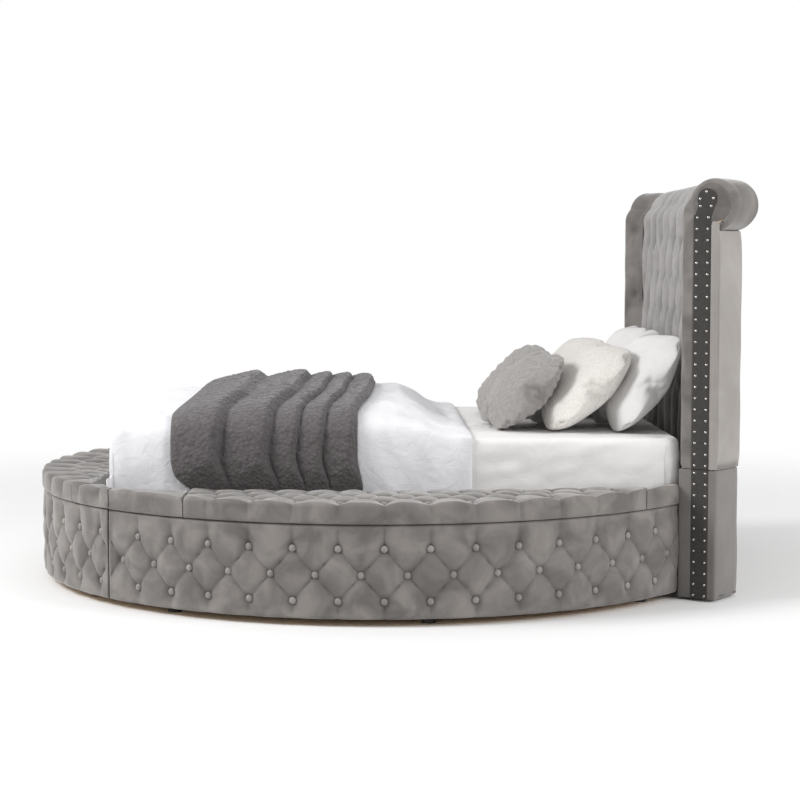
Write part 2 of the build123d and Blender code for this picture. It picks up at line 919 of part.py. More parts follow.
def nail_spots():
    """Depths and heights of the nails: two rows up each band, and round the crook."""
    spots = []
    for low, high in ((head_floor_gap, head_split), (upper_bottom, core_height)):
        count = floor((high - low - 2 * nail_edge) / nail_pitch)
        step = (high - low - 2 * nail_edge) / count
        for index in range(count + 1):
            height = low + nail_edge + index * step
            spots += [(trim_low + nail_edge, height), (trim_low + trim_width - nail_edge, height)]
    arc = trim_crook_radius - nail_edge
    centre = (trim_middle + trim_crook_shift, core_height + trim_crook_rise)
    turn = degrees(nail_pitch / arc)
    count = floor(180 / turn)
    for index in range(count + 1):
        angle = radians(90 - turn * count / 2 + turn * index)
        spots.append((centre[0] + arc * cos(angle), centre[1] + arc * sin(angle)))
    return spots


def nails(label):
    """Round-headed nails on the right wing's trim."""
    with BuildPart() as heads:
        with BuildSketch(trim_plane().offset(trim_thickness)):
            with Locations(*nail_spots()):
                RegularPolygon(nail_radius, nail_sides)
        extrude(amount=nail_height)
    return named(heads, label)


def glides(label):
    """Low round glides under the headboard."""
    front = lower_inset + carcass_wall / 2
    spots = []
    for side in (-1, 1):
        wing = wing_edge + lean * front - along * wing_length / 2
        spots += [(side * wing.X, wing.Y), (side * wing_corner.X / 2, head_front + head_thickness - front)]
    with BuildPart() as pads:
        with BuildSketch():
            with Locations(*spots):
                RegularPolygon(glide_radius, foot_sides)
        extrude(amount=head_floor_gap)
    return named(pads, label)


# Bedding

def mattress(label):
    """The mattress, with rounded corners and edges."""
    with BuildPart() as pad:
        with BuildSketch(Plane.XY.offset(mattress_base + seat_gap)):
            with Locations((0, (mattress_foot + mattress_head) / 2)):
                RectangleRounded(mattress_width, mattress_length, mattress_corner)
        extrude(amount=mattress_height)
        chamfer(pad.faces().sort_by(Axis.Z)[-1].edges(), mattress_edge)
        chamfer(pad.faces().sort_by(Axis.Z)[0].edges(), mattress_edge)
    return named(pad, label)


def duvet_fullness(place):
    """How full the duvet is along the bed: thin at its two ends, full between."""
    share = (place - mattress_foot) / (duvet_head - mattress_foot)
    return max(duvet_end_share, sqrt(max(0.0, sin(pi * share))))


def duvet_cover(place, lift, hem):
    """X and height over the right half of the duvet at a place, raised by a lift."""
    full = duvet_fullness(place)
    edge = mattress_width / 2 + bed_gap + duvet_side + lift
    shoulder = mattress_top + duvet_round
    rise = duvet_top * (1 + full) / 2
    top = mattress_top + rise + duvet_crown * full
    return [(edge, hem), (edge + lift / 2 + duvet_lie / 2 * full, (hem + shoulder) / 2),
            (edge - duvet_round / 3, shoulder + lift / 2),
            (edge - 2 * duvet_round, mattress_top + rise + lift),
            (edge * duvet_crest_share, (2 * top + mattress_top + rise) / 3 + lift), (0, top + lift)]


def under_cover():
    """X and height over the right half of the mattress, a gap off it."""
    half = mattress_width / 2 + bed_gap
    top = mattress_top + bed_gap
    return [(half, duvet_hem), (half, top - mattress_edge / 2), (half - mattress_edge / 2, top)]


def both_sides(right):
    """An outline's right half and its mirror image, in one run from right to left."""
    left = [(-x, height) for x, height in reversed(right) if x > 0]
    return [*right, *left]


def cloth_outline(outer, inner):
    """A closed outline between two half outlines of a draped cloth."""
    return [*both_sides(outer), *reversed(both_sides(inner))]


def bed_plane(place):
    return Plane(origin=(0, place, 0), x_dir=(1, 0, 0), z_dir=(0, -1, 0))


def throw_places():
    """Places along the bed of the throw's folds and the hollows between them."""
    count = 4 * throw_folds
    return [throw_foot + (throw_head - throw_foot) * step / count for step in range(count + 1)]


def duvet_places():
    """Places along the bed where the duvet's section is set."""
    start = mattress_foot - bed_gap
    before = [start, (start + throw_foot) / 2]
    after = [(throw_head + duvet_head) / 2, duvet_head]
    return [*before, *throw_places()[::2], *after]


def duvet(label):
    """The duvet: over the mattress, down its sides and over its foot."""
    places = duvet_places()
    sections = [(bed_plane(place), cloth_outline(duvet_cover(place, 0.0, duvet_hem), under_cover()))
                for place in places]
    with BuildPart() as cover:
        add(faceted(sections))
        for place in (places[0], places[0] - duvet_foot_drop):
            fall = (places[0] - place) / 2
            outline = [(x - fall / 2 if x > 0 else x, height - (fall if height > duvet_hem else 0))
                       for x, height in duvet_cover(place, 0.0, duvet_hem)]
            with BuildSketch(bed_plane(place)):
                with BuildLine():
                    Polyline(*both_sides(outline), close=True)
                make_face()
        loft(ruled=True)
    return named(cover, label)


def throw_lift(step):
    """The throw's height over the duvet at a step along it: a ridge, a slope or a hollow."""
    wave = (1 - cos(pi * step / 2)) / 2
    return throw_thickness + throw_fold * wave


def duvet_under(place):
    """The duvet's own outline at a place, between the places where it is set."""
    places = duvet_places()
    index = max(0, sum(1 for other in places if other <= place + touch) - 1)
    index = min(index, len(places) - 2)
    share = (place - places[index]) / (places[index + 1] - places[index])
    low = duvet_cover(places[index], 0.0, duvet_hem)
    high = duvet_cover(places[index + 1], 0.0, duvet_hem)
    return [(a[0] + (b[0] - a[0]) * share, a[1] + (b[1] - a[1]) * share) for a, b in zip(low, high)]


def lifted(outline, lift, hem):
    """A half outline moved outwards by a lift, with its own hem."""
    moved = []
    for index, (x, height) in enumerate(outline):
        side = lift if x > 0 else 0.0
        rise = 0.0 if index < 2 else lift
        moved.append((x + side, hem if index == 0 else height + rise))
    return moved


def throw(label):
    """The folded throw across the bed, its folds running over the sides."""
    sections = []
    for step, place in enumerate(throw_places()):
        base = duvet_under(place)
        inner = lifted(base, bed_gap, throw_hem)
        outer = lifted(base, throw_lift(step), throw_hem)
        sections.append((bed_plane(place), cloth_outline(outer, inner)))
    return faceted_piece(label, sections)


def pillow_levels(width, height, thickness):
    """Nested steps of a plump pillow, from its seam to its crown: X, Y and Z of each."""
    rim = pillow_edge / 2
    return [(width / 2, height / 2, rim),
            (width * pillow_shoulder[0], height * pillow_shoulder[1], thickness * pillow_shoulder[2]),
            (width * pillow_crown[0], height * pillow_crown[1], thickness / 2)]


def pillow_section(levels, index):
    """Y and Z round a pillow where it reaches one of its levels along X."""
    side = [(reach, deep) for _, reach, deep in levels[:index + 1]]
    for low, high in zip(levels[index:], levels[index + 1:]):
        reach, deep = side[-1]
        share = pillow_fold / (low[1] - high[1])
        side.append((reach - pillow_fold, deep + (high[2] - low[2]) * share))
    upper = [*[(-y, z) for y, z in side], *[(y, z) for y, z in reversed(side)]]
    return [*upper, *[(y, -z) for y, z in reversed(upper)]]


def pillow_form(width, height, thickness):
    """A plump pillow about the origin: X is its width, Y its height and Z its thickness."""
    levels = pillow_levels(width, height, thickness)
    sections = []
    for side, order in ((-1, range(len(levels))), (1, reversed(range(len(levels))))):
        for index in order:
            station = Plane(origin=(side * levels[index][0], 0, 0), x_dir=(0, 1, 0), z_dir=(1, 0, 0))
            sections.append((station, pillow_section(levels, index)))
    return faceted(sections)


def leaning(label, form, x, y):
    """A pillow leant back, its middle at x and y, resting on the mattress."""
    tilted = form.rotate(Axis.X, pillow_lean)
    drop = mattress_top + seat_gap - tilted.bounding_box().min.Z
    with BuildPart() as pillow:
        add(tilted.moved(Location((x, y, drop))))
    return named(pillow, label)


def pillows():
    """Rows of leaning pillows, each a thickness in front of the last."""
    rows = (("bare_pillows", euro_width, euro_height, euro_thickness),
            ("plush_pillows", plush_width, plush_height, plush_thickness),
            ("ruched_cushions", ruched_width, ruched_height, ruched_thickness))
    back, up = sin(radians(pillow_lean)), cos(radians(pillow_lean))
    kept = []
    for name, width, height, thickness in rows:
        form = pillow_form(width, height, thickness)
        box = form.rotate(Axis.X, pillow_lean).bounding_box()
        if kept:
            apart = (last_thickness + thickness) / 2 + (last_rise + box.min.Z) * up
            place -= apart / back + pillow_spacing
        else:
            place = head_front - pillow_wall_gap - box.max.Y
        last_thickness, last_rise = thickness, -box.min.Z
        pair = [leaning(name, form, side * (width + pillow_side_gap) / 2, place) for side in (-1, 1)]
        kept.append(together(name, *pair))
    return kept


# The whole bed

def side_box():
    """Pieces of the right box, with the names that they have on either side."""
    inner = well_half
    lid_edge = inner + rail_width + hinge_half
    low, high = -side_lid_foot, side_lid_head
    fixed_high = high + lid_gap
    end_angle = wing_angle - gap_angle
    foot_angle = -degrees(asin(-side_foot_end / ring_radius))
    spots = hinge_spots(low, high, side_hinge_count)
    head_end = shell_outer * sin(radians(end_angle))
    foot_section = (side_plane(side_foot_end), on_chord(skirt_outline(), side_foot_end))
    head_section = (radial_plane(end_angle), skirt_outline())
    wall_low = side_foot_end + seat_gap
    return {
        "skirt": skirt("skirt", foot_section, foot_angle, head_section, end_angle),
        "box_floor": arc_board("box_floor", inner, shell_outer, side_foot_end, head_end,
                               base_lift, floor_thickness),
        "outer_wall": outer_wall("outer_wall", inner, side_foot_end, head_end),
        "inner_wall": inner_wall("inner_wall", inner, wall_low, head_end),
        "box_dividers": together("box_dividers", divider("a", inner, wall_low),
                                 divider("b", inner, side_divider)),
        "rail_board": rail_board("rail_board", inner, side_foot_end, fixed_high - seat_gap),
        "rail_pad": rail_pad("rail_pad", inner, side_foot_end, fixed_high - seat_gap),
        "foot_corner_pad": fixed_pad("foot_corner_pad", lid_edge, side_foot_end, low - lid_gap),
        "head_corner_pad": fixed_pad("head_corner_pad", inner, fixed_high, ring_radius, end_angle),
        "lid_board": lid_board("lid_board", lid_edge, low, high),
        "lid_pad": lid_pad("lid_pad", lid_edge, low, high),
        "lid_buttons": studs("lid_buttons", button_planes(lid_button_places(lid_edge, low, high)),
                             button_radius, button_height, button_sides),
        "lid_leaves": hinge_leaves("lid_leaves", inner, spots, True),
        "fixed_leaves": hinge_leaves("fixed_leaves", inner, spots, False),
        "hinge_pins": hinge_pins("hinge_pins", inner, spots),
    }


def foot_box():
    """Pieces of the foot box, drawn on the +X side before they are turned."""
    inner = foot_inner
    lid_edge = inner + rail_width + hinge_half
    half = foot_lid_half
    reach = sqrt(shell_outer ** 2 - inner ** 2)
    angle = degrees(acos(inner / skirt_inner))
    spots = hinge_spots(-half, half, foot_hinge_count)
    ends = [(chord_plane(inner, side), on_chord(skirt_outline(), inner)) for side in (-1, 1)]
    pad = foot_corner_pad("pad")
    with BuildPart() as other:
        mirror(pad, about=Plane.XZ)
    rail_half = half + lid_gap - seat_gap
    return {
        "skirt": skirt("skirt", ends[0], -angle, ends[1], angle),
        "box_floor": arc_board("box_floor", inner, shell_outer, -reach, reach, base_lift, floor_thickness),
        "outer_wall": outer_wall("outer_wall", inner, -reach, reach),
        "inner_wall": inner_wall("inner_wall", inner, -reach, reach),
        "box_dividers": together("box_dividers", divider("a", inner, -foot_divider - wall_thickness),
                                 divider("b", inner, foot_divider)),
        "rail_board": rail_board("rail_board", inner, -rail_half, rail_half),
        "rail_pad": rail_pad("rail_pad", inner, -rail_half, rail_half),
        "corner_pads": together("corner_pads", pad, other.part),
        "lid_board": lid_board("lid_board", lid_edge, -half, half),
        "lid_pad": lid_pad("lid_pad", lid_edge, -half, half),
        "lid_buttons": studs("lid_buttons", button_planes(lid_button_places(lid_edge, -half, half)),
                             button_radius, button_height, button_sides),
        "lid_leaves": hinge_leaves("lid_leaves", inner, spots, True),
        "fixed_leaves": hinge_leaves("fixed_leaves", inner, spots, False),
        "hinge_pins": hinge_pins("hinge_pins", inner, spots),
    }


joined_kinds = ("box_dividers", "rail_board", "rail_pad", "fixed_leaves", "hinge_pins")
paired_kinds = ("foot_corner_pad", "head_corner_pad")
group_names = {"box_dividers": "box_dividers", "rail_board": "rail_boards", "rail_pad": "rail_pads",
               "fixed_leaves": "hinge_fixed_leaves", "hinge_pins": "hinge_pins",
               "foot_corner_pad": "side_foot_corner_pads", "head_corner_pad": "side_head_corner_pads"}


def ring_pieces():
    """Every piece of the three boxes, in place and under its own name."""
    right = side_box()
    left = {kind: mirrored(kind, piece) for kind, piece in right.items()}
    foot = {kind: turned(kind, piece) for kind, piece in foot_box().items()}
    kept = []
    for kind in right:
        if kind in joined_kinds:
            kept.append(together(group_names[kind], right[kind], left[kind], foot[kind]))
        elif kind in paired_kinds:
            kept.append(together(group_names[kind], right[kind], left[kind]))
        else:
            for side, box in (("right", right), ("left", left), ("foot", foot)):
                box[kind].label = f"{side}_{kind}"
                kept.append(box[kind])
    foot["corner_pads"].label = "foot_box_corner_pads"
    kept.append(foot["corner_pads"])
    return kept


def skirt_buttons(label):
    """The covered buttons of the three skirts."""
    foot_angle = degrees(asin(foot_chord / ring_radius))
    side = skirt_button_places(-foot_angle, wing_angle, 0.0)
    places = [*side, *skirt_button_places(foot_angle - 90, 90 - foot_angle, foot_turn)]
    places += [(Vector(-place.X, place.Y, place.Z), Vector(-out.X, out.Y, 0)) for place, out in side]
    return studs(label, button_planes(places), button_radius, button_height, button_sides)


def support_pieces():
    """The feet and what carries the mattress."""
    low = -foot_inner + seat_gap
    high = head_front + lower_inset - seat_gap
    wall_end = sqrt((shell_inner - seat_gap) ** 2 - (well_half + inner_wall_thickness) ** 2)
    return [feet("ring_feet"), slats("slats"), ledges("slat_ledges", side_foot_end + seat_gap, wall_end),
            centre_beam("centre_beam", low + bracket_thickness + seat_gap, high - bracket_thickness - seat_gap),
            centre_legs("centre_legs", low, high), beam_brackets("beam_brackets", low, high),
            bracket_bolts("bracket_bolts", low, high)]


def headboard_pieces():
    """The headboard's two sections, pads, scroll and trim."""
    right_pad = wing_pad("right_wing_pad")
    right_trim = trim_band("right")
    right_nails = nails("right")
    return [
        head_band("headboard_base", lower_inset, head_thickness - lower_inset, head_floor_gap, head_split,
                  carcass_wall),
        head_band("headboard_frame", carcass_front, carcass_back, head_split + seat_gap, carcass_top,
                  carcass_wall),
        head_band("headboard_back_cover", head_thickness - back_cover_thickness, head_thickness,
                  upper_bottom, roll_point(-roll_tuck, roll_radius)[1] + back_cover_thickness),
        scroll_core("scroll_core"), main_pad("headboard_main_pad"), right_pad,
        mirrored("left_wing_pad", right_pad),
        studs("headboard_buttons", button_planes(head_button_places()), head_button_radius,
              button_height, button_sides),
        together("wing_trim_bands", right_trim, mirrored("left", right_trim)),
        together("trim_nails", right_nails, mirrored("left", right_nails)),
        glides("headboard_glides"),
    ]


def bedding_pieces():
    """The mattress and what dresses it."""
    return [mattress("mattress"), duvet("duvet"), throw("throw"), *pillows()]


os.makedirs("parts", exist_ok=True)
for finished in [*ring_pieces(), skirt_buttons("skirt_buttons"), *support_pieces(),
                 *headboard_pieces(), *bedding_pieces()]:
    export_step(finished, f"parts/{finished.label}.step")
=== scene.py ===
"""Soft goods, finishes, light and camera of a round, tufted storage bed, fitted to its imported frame."""
import json
import logging
import math
from dataclasses import dataclass, field
from enum import Enum

import bpy
import numpy as np
from mathutils import Matrix, Vector


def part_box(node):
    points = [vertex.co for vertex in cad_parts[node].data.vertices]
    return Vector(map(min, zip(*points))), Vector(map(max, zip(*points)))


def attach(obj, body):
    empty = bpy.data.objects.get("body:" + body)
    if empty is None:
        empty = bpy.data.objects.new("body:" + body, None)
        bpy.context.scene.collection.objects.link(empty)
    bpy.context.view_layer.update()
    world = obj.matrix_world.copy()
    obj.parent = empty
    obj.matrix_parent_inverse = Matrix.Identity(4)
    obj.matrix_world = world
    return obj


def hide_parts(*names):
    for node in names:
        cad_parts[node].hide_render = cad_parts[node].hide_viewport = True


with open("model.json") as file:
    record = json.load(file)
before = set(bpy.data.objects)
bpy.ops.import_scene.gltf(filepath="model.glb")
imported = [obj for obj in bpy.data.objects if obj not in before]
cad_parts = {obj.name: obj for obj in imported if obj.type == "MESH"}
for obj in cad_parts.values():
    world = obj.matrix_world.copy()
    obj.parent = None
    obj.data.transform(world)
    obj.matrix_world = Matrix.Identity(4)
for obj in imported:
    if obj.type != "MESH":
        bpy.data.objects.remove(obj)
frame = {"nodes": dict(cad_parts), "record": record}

log = logging.getLogger("bed")


# Colour and nodes

def linear(code: str) -> tuple[float, float, float, float]:
    """Turn an sRGB hex colour into the linear colour that Blender works in.

    Args:
        code: Six hex digits, with or without a leading hash.

    Returns:
        Linear red, green and blue, and an alpha of one.
    """
    digits = code.lstrip("#")
    shares = [int(digits[place:place + 2], 16) / 255 for place in (0, 2, 4)]
    red, green, blue = [share / 12.92 if share <= 0.04045 else ((share + 0.055) / 1.055) ** 2.4
                        for share in shares]
    return red, green, blue, 1.0


def add_node(tree: bpy.types.NodeTree, kind: str, settings: dict | None = None,
             inputs: dict | None = None) -> bpy.types.Node:
    """Add a node with its settings, its values and its links.

    Args:
        tree: The tree that the node goes into.
        kind: The node's type.
        settings: Attributes of the node and their values.
        inputs: Sockets, by name or number, and a value or the socket that feeds each.

    Returns:
        The new node.
    """
    node = tree.nodes.new(kind)
    for name, value in (settings or {}).items():
        setattr(node, name, value)
    for key, value in (inputs or {}).items():
        if isinstance(value, bpy.types.NodeSocket):
            tree.links.new(value, node.inputs[key])
        else:
            node.inputs[key].default_value = value
    return node


class Mixing(Enum):
    """How a second colour is laid over a first."""
    PLAIN = "MIX"
    DEEPEN = "MULTIPLY"


@dataclass
class Surface:
    """A material's nodes while it is painted, in sizes of the real object."""
    tree: bpy.types.NodeTree
    wave_pace: float = 20.0

    def __post_init__(self) -> None:
        """Add the shader, its output and the place that every texture reads."""
        self.shader = add_node(self.tree, "ShaderNodeBsdfPrincipled")
        add_node(self.tree, "ShaderNodeOutputMaterial", None, {"Surface": self.shader.outputs[0]})
        self.place = add_node(self.tree, "ShaderNodeTexCoord").outputs["Object"]

    def mixed(self, share: object, first: object, second: object,
              way: Mixing = Mixing.PLAIN) -> bpy.types.NodeSocket:
        """Mix two colours by a share."""
        return add_node(self.tree, "ShaderNodeMix", {"data_type": "RGBA", "blend_type": way.value},
                        {0: share, 6: first, 7: second}).outputs[2]

    def sums(self, operation: str, first: object, second: object) -> bpy.types.NodeSocket:
        """Work out one sum from two values."""
        return add_node(self.tree, "ShaderNodeMath", {"operation": operation},
                        {0: first, 1: second}).outputs[0]

    def noise(self, size: float, detail: float = 2.0, distortion: float = 0.0,
              place: bpy.types.NodeSocket | None = None) -> bpy.types.Node:
        """Soft noise, with patches of about one size."""
        return add_node(self.tree, "ShaderNodeTexNoise", None,
                        {"Vector": self.place if place is None else place, "Scale": 1 / size,
                         "Detail": detail, "Distortion": distortion})

    def waves(self, size: float, way: str, distortion: float = 0.0) -> bpy.types.Node:
        """Even bands of one width, square to an axis."""
        return add_node(self.tree, "ShaderNodeTexWave", {"bands_direction": way},
                        {"Vector": self.place, "Scale": 1 / size / self.wave_pace,
                         "Distortion": distortion})

    def cells(self, size: float, softness: float = 0.0) -> bpy.types.NodeSocket:
        """Distance from the middles of cells of about one size, rounded off where they are soft."""
        inputs = {"Vector": self.place, "Scale": 1 / size}
        if softness:
            inputs["Smoothness"] = softness
        return add_node(self.tree, "ShaderNodeTexVoronoi", {"feature": "SMOOTH_F1" if softness else "F1"},
                        inputs).outputs["Distance"]

    def fold(self, weight: float) -> bpy.types.NodeSocket:
        """The fold attribute, which sets how much painted shade a place gets, by a weight."""
        fold = add_node(self.tree, "ShaderNodeAttribute", {"attribute_name": "fold"})
        return self.sums("MULTIPLY", fold.outputs["Fac"], weight)

    def bump(self, height: bpy.types.NodeSocket, strength: float, distance: float,
             under: bpy.types.NodeSocket | None = None, invert: bool = False) -> bpy.types.NodeSocket:
        """Raise or sink the surface by a height, over another bump where there is one."""
        inputs = {"Strength": strength, "Distance": distance, "Height": height}
        if under is not None:
            inputs["Normal"] = under
        return add_node(self.tree, "ShaderNodeBump", {"invert": invert}, inputs).outputs[0]

    def wear(self, tone: bpy.types.NodeSocket, normal: bpy.types.NodeSocket,
             values: dict[str, float] | None = None) -> None:
        """Give the shader its colour, its normal and its even values."""
        self.tree.links.new(tone, self.shader.inputs["Base Color"])
        self.tree.links.new(normal, self.shader.inputs["Normal"])
        for name, value in (values or {}).items():
            self.shader.inputs[name].default_value = value


@dataclass(frozen=True)
class Finish:
    """What every finish has: its name, its colours and how rough it is."""
    name: str
    colour: str
    shade: str
    roughness: float

    def material(self) -> bpy.types.Material:
        """Make the finish's material, or find it where it is made already."""
        kept = bpy.data.materials.get(self.name)
        if kept is not None:
            return kept
        material = bpy.data.materials.new(self.name)
        material.use_nodes = True
        material.node_tree.nodes.clear()
        surface = Surface(material.node_tree)
        surface.shader.inputs["Roughness"].default_value = self.roughness
        self.paint(surface)
        material.diffuse_color = linear(self.colour)
        return material

    def tones(self, surface: Surface, share: bpy.types.NodeSocket) -> bpy.types.NodeSocket:
        """The finish's two colours, mixed by a share."""
        return surface.mixed(share, linear(self.colour), linear(self.shade))

    def paint(self, surface: Surface) -> None:
        """Add the finish's own nodes."""
        raise NotImplementedError


@dataclass(frozen=True)
class Velvet(Finish):
    """Cut-pile velvet: a short nap that lies two ways, so that it shows pale and dark patches."""
    # The colour of the painted shade that folds darken towards
    crease: str = "#56524F"
    sheen: float = 0.35
    sheen_roughness: float = 0.35
    patch: float = 0.11
    patch_ends: tuple[float, float] = (0.36, 0.64)
    nap: float = 0.0022
    nap_height: float = 0.0008
    nap_shade: float = 0.12
    fold_shade: float = 0.62

    def paint(self, surface: Surface) -> None:
        """Brush patches, painted shade in folds and a fine nap."""
        patches = surface.noise(self.patch, 4.0, 0.6)
        low, high = self.patch_ends
        brushed = add_node(surface.tree, "ShaderNodeMapRange", None,
                           {"Value": patches.outputs["Fac"], "From Min": low, "From Max": high})
        pile = self.tones(surface, brushed.outputs[0])
        # Painted shade: the pile darkens towards the crease colour by the fold attribute
        body = surface.mixed(surface.fold(self.fold_shade), pile, linear(self.crease))
        fine = surface.noise(self.nap)
        speck = surface.mixed(self.nap_shade, body, fine.outputs["Color"], Mixing.DEEPEN)
        surface.wear(speck, surface.bump(fine.outputs["Fac"], 0.25, self.nap_height),
                     {"Sheen Weight": self.sheen, "Sheen Roughness": self.sheen_roughness,
                      "Specular IOR Level": 0.3})


@dataclass(frozen=True)
class Cloth(Finish):
    """Woven cloth: threads both ways, drawn coarse enough to show, with soft crumples."""
    thread: float = 0.0016
    crumple: float = 0.05
    crumple_height: float = 0.004
    sheen: float = 0.1
    quilt: float = 0.0
    fold_shade: float = 0.55

    def threads(self, surface: Surface) -> bpy.types.NodeSocket:
        """Threads along every axis, so that any face of a piece shows two ways of them."""
        first, second, third = (surface.waves(self.thread, way, 0.3).outputs["Fac"] for way in "XYZ")
        return surface.sums("ADD", surface.sums("MULTIPLY", first, second), third)

    def paint(self, surface: Surface) -> None:
        """Threads, crumples, a faint unevenness of colour, painted shade in folds and, on a quilt, its raised
        pattern with painted shade in its hollows.
        """
        crumples = surface.noise(self.crumple, 3.0, 1.2).outputs["Fac"]
        tone = self.tones(surface, crumples)
        # Painted shade: the colour darkens by the fold attribute
        tone = surface.mixed(surface.fold(self.fold_shade), tone, tone, Mixing.DEEPEN)
        soft = surface.bump(crumples, 0.5, self.crumple_height)
        if self.quilt:
            pebbles = surface.cells(self.quilt, 0.3)
            # Painted shade in the quilt's hollows: darker towards each pebble's edge
            tone = surface.mixed(pebbles, tone, linear(self.shade))
            soft = surface.bump(pebbles, 0.9, self.quilt / 3, soft, invert=True)
        weave = surface.bump(self.threads(surface), 0.15, self.thread / 3, soft)
        surface.wear(tone, weave, {"Sheen Weight": self.sheen, "Specular IOR Level": 0.25})


@dataclass(frozen=True)
class Plush(Finish):
    """Long soft pile in small tufts, which catch the light on their tips."""
    tuft: float = 0.011
    tuft_height: float = 0.004
    hair_height: float = 0.002

    def paint(self, surface: Surface) -> None:
        """Tufts of pile, with painted shade between them."""
        tufts = surface.cells(self.tuft)
        hairs = surface.noise(self.tuft / 4, 3.0)
        broad = surface.bump(tufts, 0.7, self.tuft_height, invert=True)
        fine = surface.bump(hairs.outputs["Fac"], 0.5, self.hair_height, broad)
        # Painted shade: paler at each tuft's middle, darker between the tufts
        surface.wear(self.tones(surface, tufts), fine, {"Sheen Weight": 0.5, "Sheen Roughness": 0.5})


@dataclass(frozen=True)
class Metal(Finish):
    """Bare or plated metal: a hard gloss, faintly uneven."""
    grain: float = 0.006
    grain_height: float = 0.0004

    def paint(self, surface: Surface) -> None:
        """Cloudy plating over a metal."""
        cloud = surface.noise(self.grain).outputs["Fac"]
        surface.wear(self.tones(surface, cloud), surface.bump(cloud, 0.08, self.grain_height),
                     {"Metallic": 1.0})


@dataclass(frozen=True)
class Moulded(Finish):
    """Moulded plastic with the fine texture of its tool."""
    texture: float = 0.0012
    texture_height: float = 0.0003
    scuff: float = 1 / 60

    def paint(self, surface: Surface) -> None:
        """A fine even texture, with scuffs."""
        pits = surface.noise(self.texture).outputs["Fac"]
        scuffs = surface.noise(self.scuff).outputs["Fac"]
        surface.wear(self.tones(surface, scuffs), surface.bump(pits, 0.3, self.texture_height))


@dataclass(frozen=True)
class Timber(Finish):
    """Wood: grain drawn out along the board, with plies on its edges where it is plywood."""
    grain: float = 0.012
    grain_height: float = 0.0006
    drawn_out: float = 0.12
    ply: float = 0.0
    ply_shade: float = 0.18

    def paint(self, surface: Surface) -> None:
        """Long grain, fine pores and, on plywood, its layers."""
        long = add_node(surface.tree, "ShaderNodeMapping", None,
                        {"Vector": surface.place, "Scale": (1.0, self.drawn_out, 1.0)})
        rings = surface.noise(self.grain, 5.0, 1.5, long.outputs[0]).outputs["Fac"]
        tone = self.tones(surface, rings)
        if self.ply:
            layers = surface.waves(self.ply, "Z").outputs["Color"]
            tone = surface.mixed(self.ply_shade, tone, layers, Mixing.DEEPEN)
        surface.wear(tone, surface.bump(rings, 0.15, self.grain_height))


# Tufted velvet of the boxes: mid grey, painted darker than the panel's and outside's copies of the same cloth
# for the less light on the boxes, with painted shade in its folds, and silvery on its crests
GREY_VELVET = Velvet("grey velvet", "#8A8581", "#6B6764", 0.62, crease="#4A4745", sheen=0.6)
# Covered buttons: the same velvet, painted paler as a painted highlight, and stretched so that it shines
BUTTON_VELVET = Velvet("button velvet", "#9C9794", "#7F7B78", 0.42, sheen=0.8)
# Velvet of the headboard's panel: the same cloth in more light, painted paler for it, with painted shade in
# its folds
PANEL_VELVET = Velvet("panel velvet", "#ABA8A7", "#94918F", 0.62, crease="#5C5957", sheen=0.5)
# Plain velvet of the headboard's outside and base: smooth, and painted paler for the stronger light on it
COVER_VELVET = Velvet("plain cover velvet", "#ABA6A2", "#9C9793", 0.75, patch=0.24)
# Velvet of the headboard's lower section: the same cloth, painted darker as painted shade for the less light
# low down
BASE_VELVET = Velvet("lower cover velvet", "#878380", "#7B7774", 0.75, patch=0.24)
# Velvet of the scroll's ends, gathered, painted darker as painted shade, as they face away from the light
HOOD_VELVET = Velvet("scroll end velvet", "#76726F", "#686461", 0.7, patch=0.05)
# Chenille band under the nails: matt and nearly charcoal
DARK_TRIM = Cloth("dark chenille trim", "#4F4D4B", "#3C3A39", 0.95, thread=0.003, crumple=0.02)
# Nickel-plated steel nails: bright and hard
NICKEL = Metal("polished nickel", "#BDBAB7", "#97948F", 0.20)
# Moulded polypropylene feet: matt black
BLACK_PLASTIC = Moulded("moulded black plastic", "#1B1B1C", "#262627", 0.55)
# Zinc-plated steel of hinges, brackets and bolts: dull silver
ZINC = Metal("zinc plated steel", "#B9BCC0", "#9DA1A6", 0.38)
# Dark lining cloth stapled over the headboard's timber, dull in its seams
LINING = Cloth("lining cloth", "#4C4A48", "#3F3D3B", 0.9)
# Planed pine of slats, ledges and beam: warm and pale with broad grain
PINE = Timber("planed pine", "#D8B98A", "#BE9661", 0.6)
# Sanded birch plywood of the boxes: fine pale grain, layered at its edges
PLYWOOD = Timber("birch plywood", "#D2B68E", "#BB9A6C", 0.62, grain=0.006, ply=0.0028)
# Fitted cotton sheet: white percale, a little crumpled
SHEET = Cloth("white fitted sheet", "#F6F5F4", "#EBEAE9", 0.9, crumple=0.09, crumple_height=0.006)
# Duvet cover: white cotton, softly crumpled
DUVET_COTTON = Cloth("white duvet cotton", "#F3F3F6", "#E9E9ED", 0.9, crumple=0.045, crumple_height=0.007)
# Throw: brushed dark grey cloth, quilted and crinkled, with painted shade in its creases, on its hanging
# sides and in its quilted hollows
THROW_CLOTH = Cloth("dark quilted throw", "#7C7778", "#575354", 0.85, crumple=0.018, crumple_height=0.004,
                    sheen=0.3, quilt=0.014)
# Bare pillow: white cotton
PILLOW_COTTON = Cloth("white pillow cotton", "#EEEDEC", "#DDDCDB", 0.9, crumple=0.07, crumple_height=0.006)
# Cream plush: long soft pile, with painted shade between its tufts
CREAM_PLUSH = Plush("cream plush", "#F4F1ED", "#E2DDD6", 0.95)
# Ruched satin cushion: grey with a soft gloss
RUCHED_SATIN = Cloth("ruched grey satin", "#A7A29F", "#7F7B78", 0.50, crumple=0.012, crumple_height=0.004,
                     sheen=0.4)


# Meshes

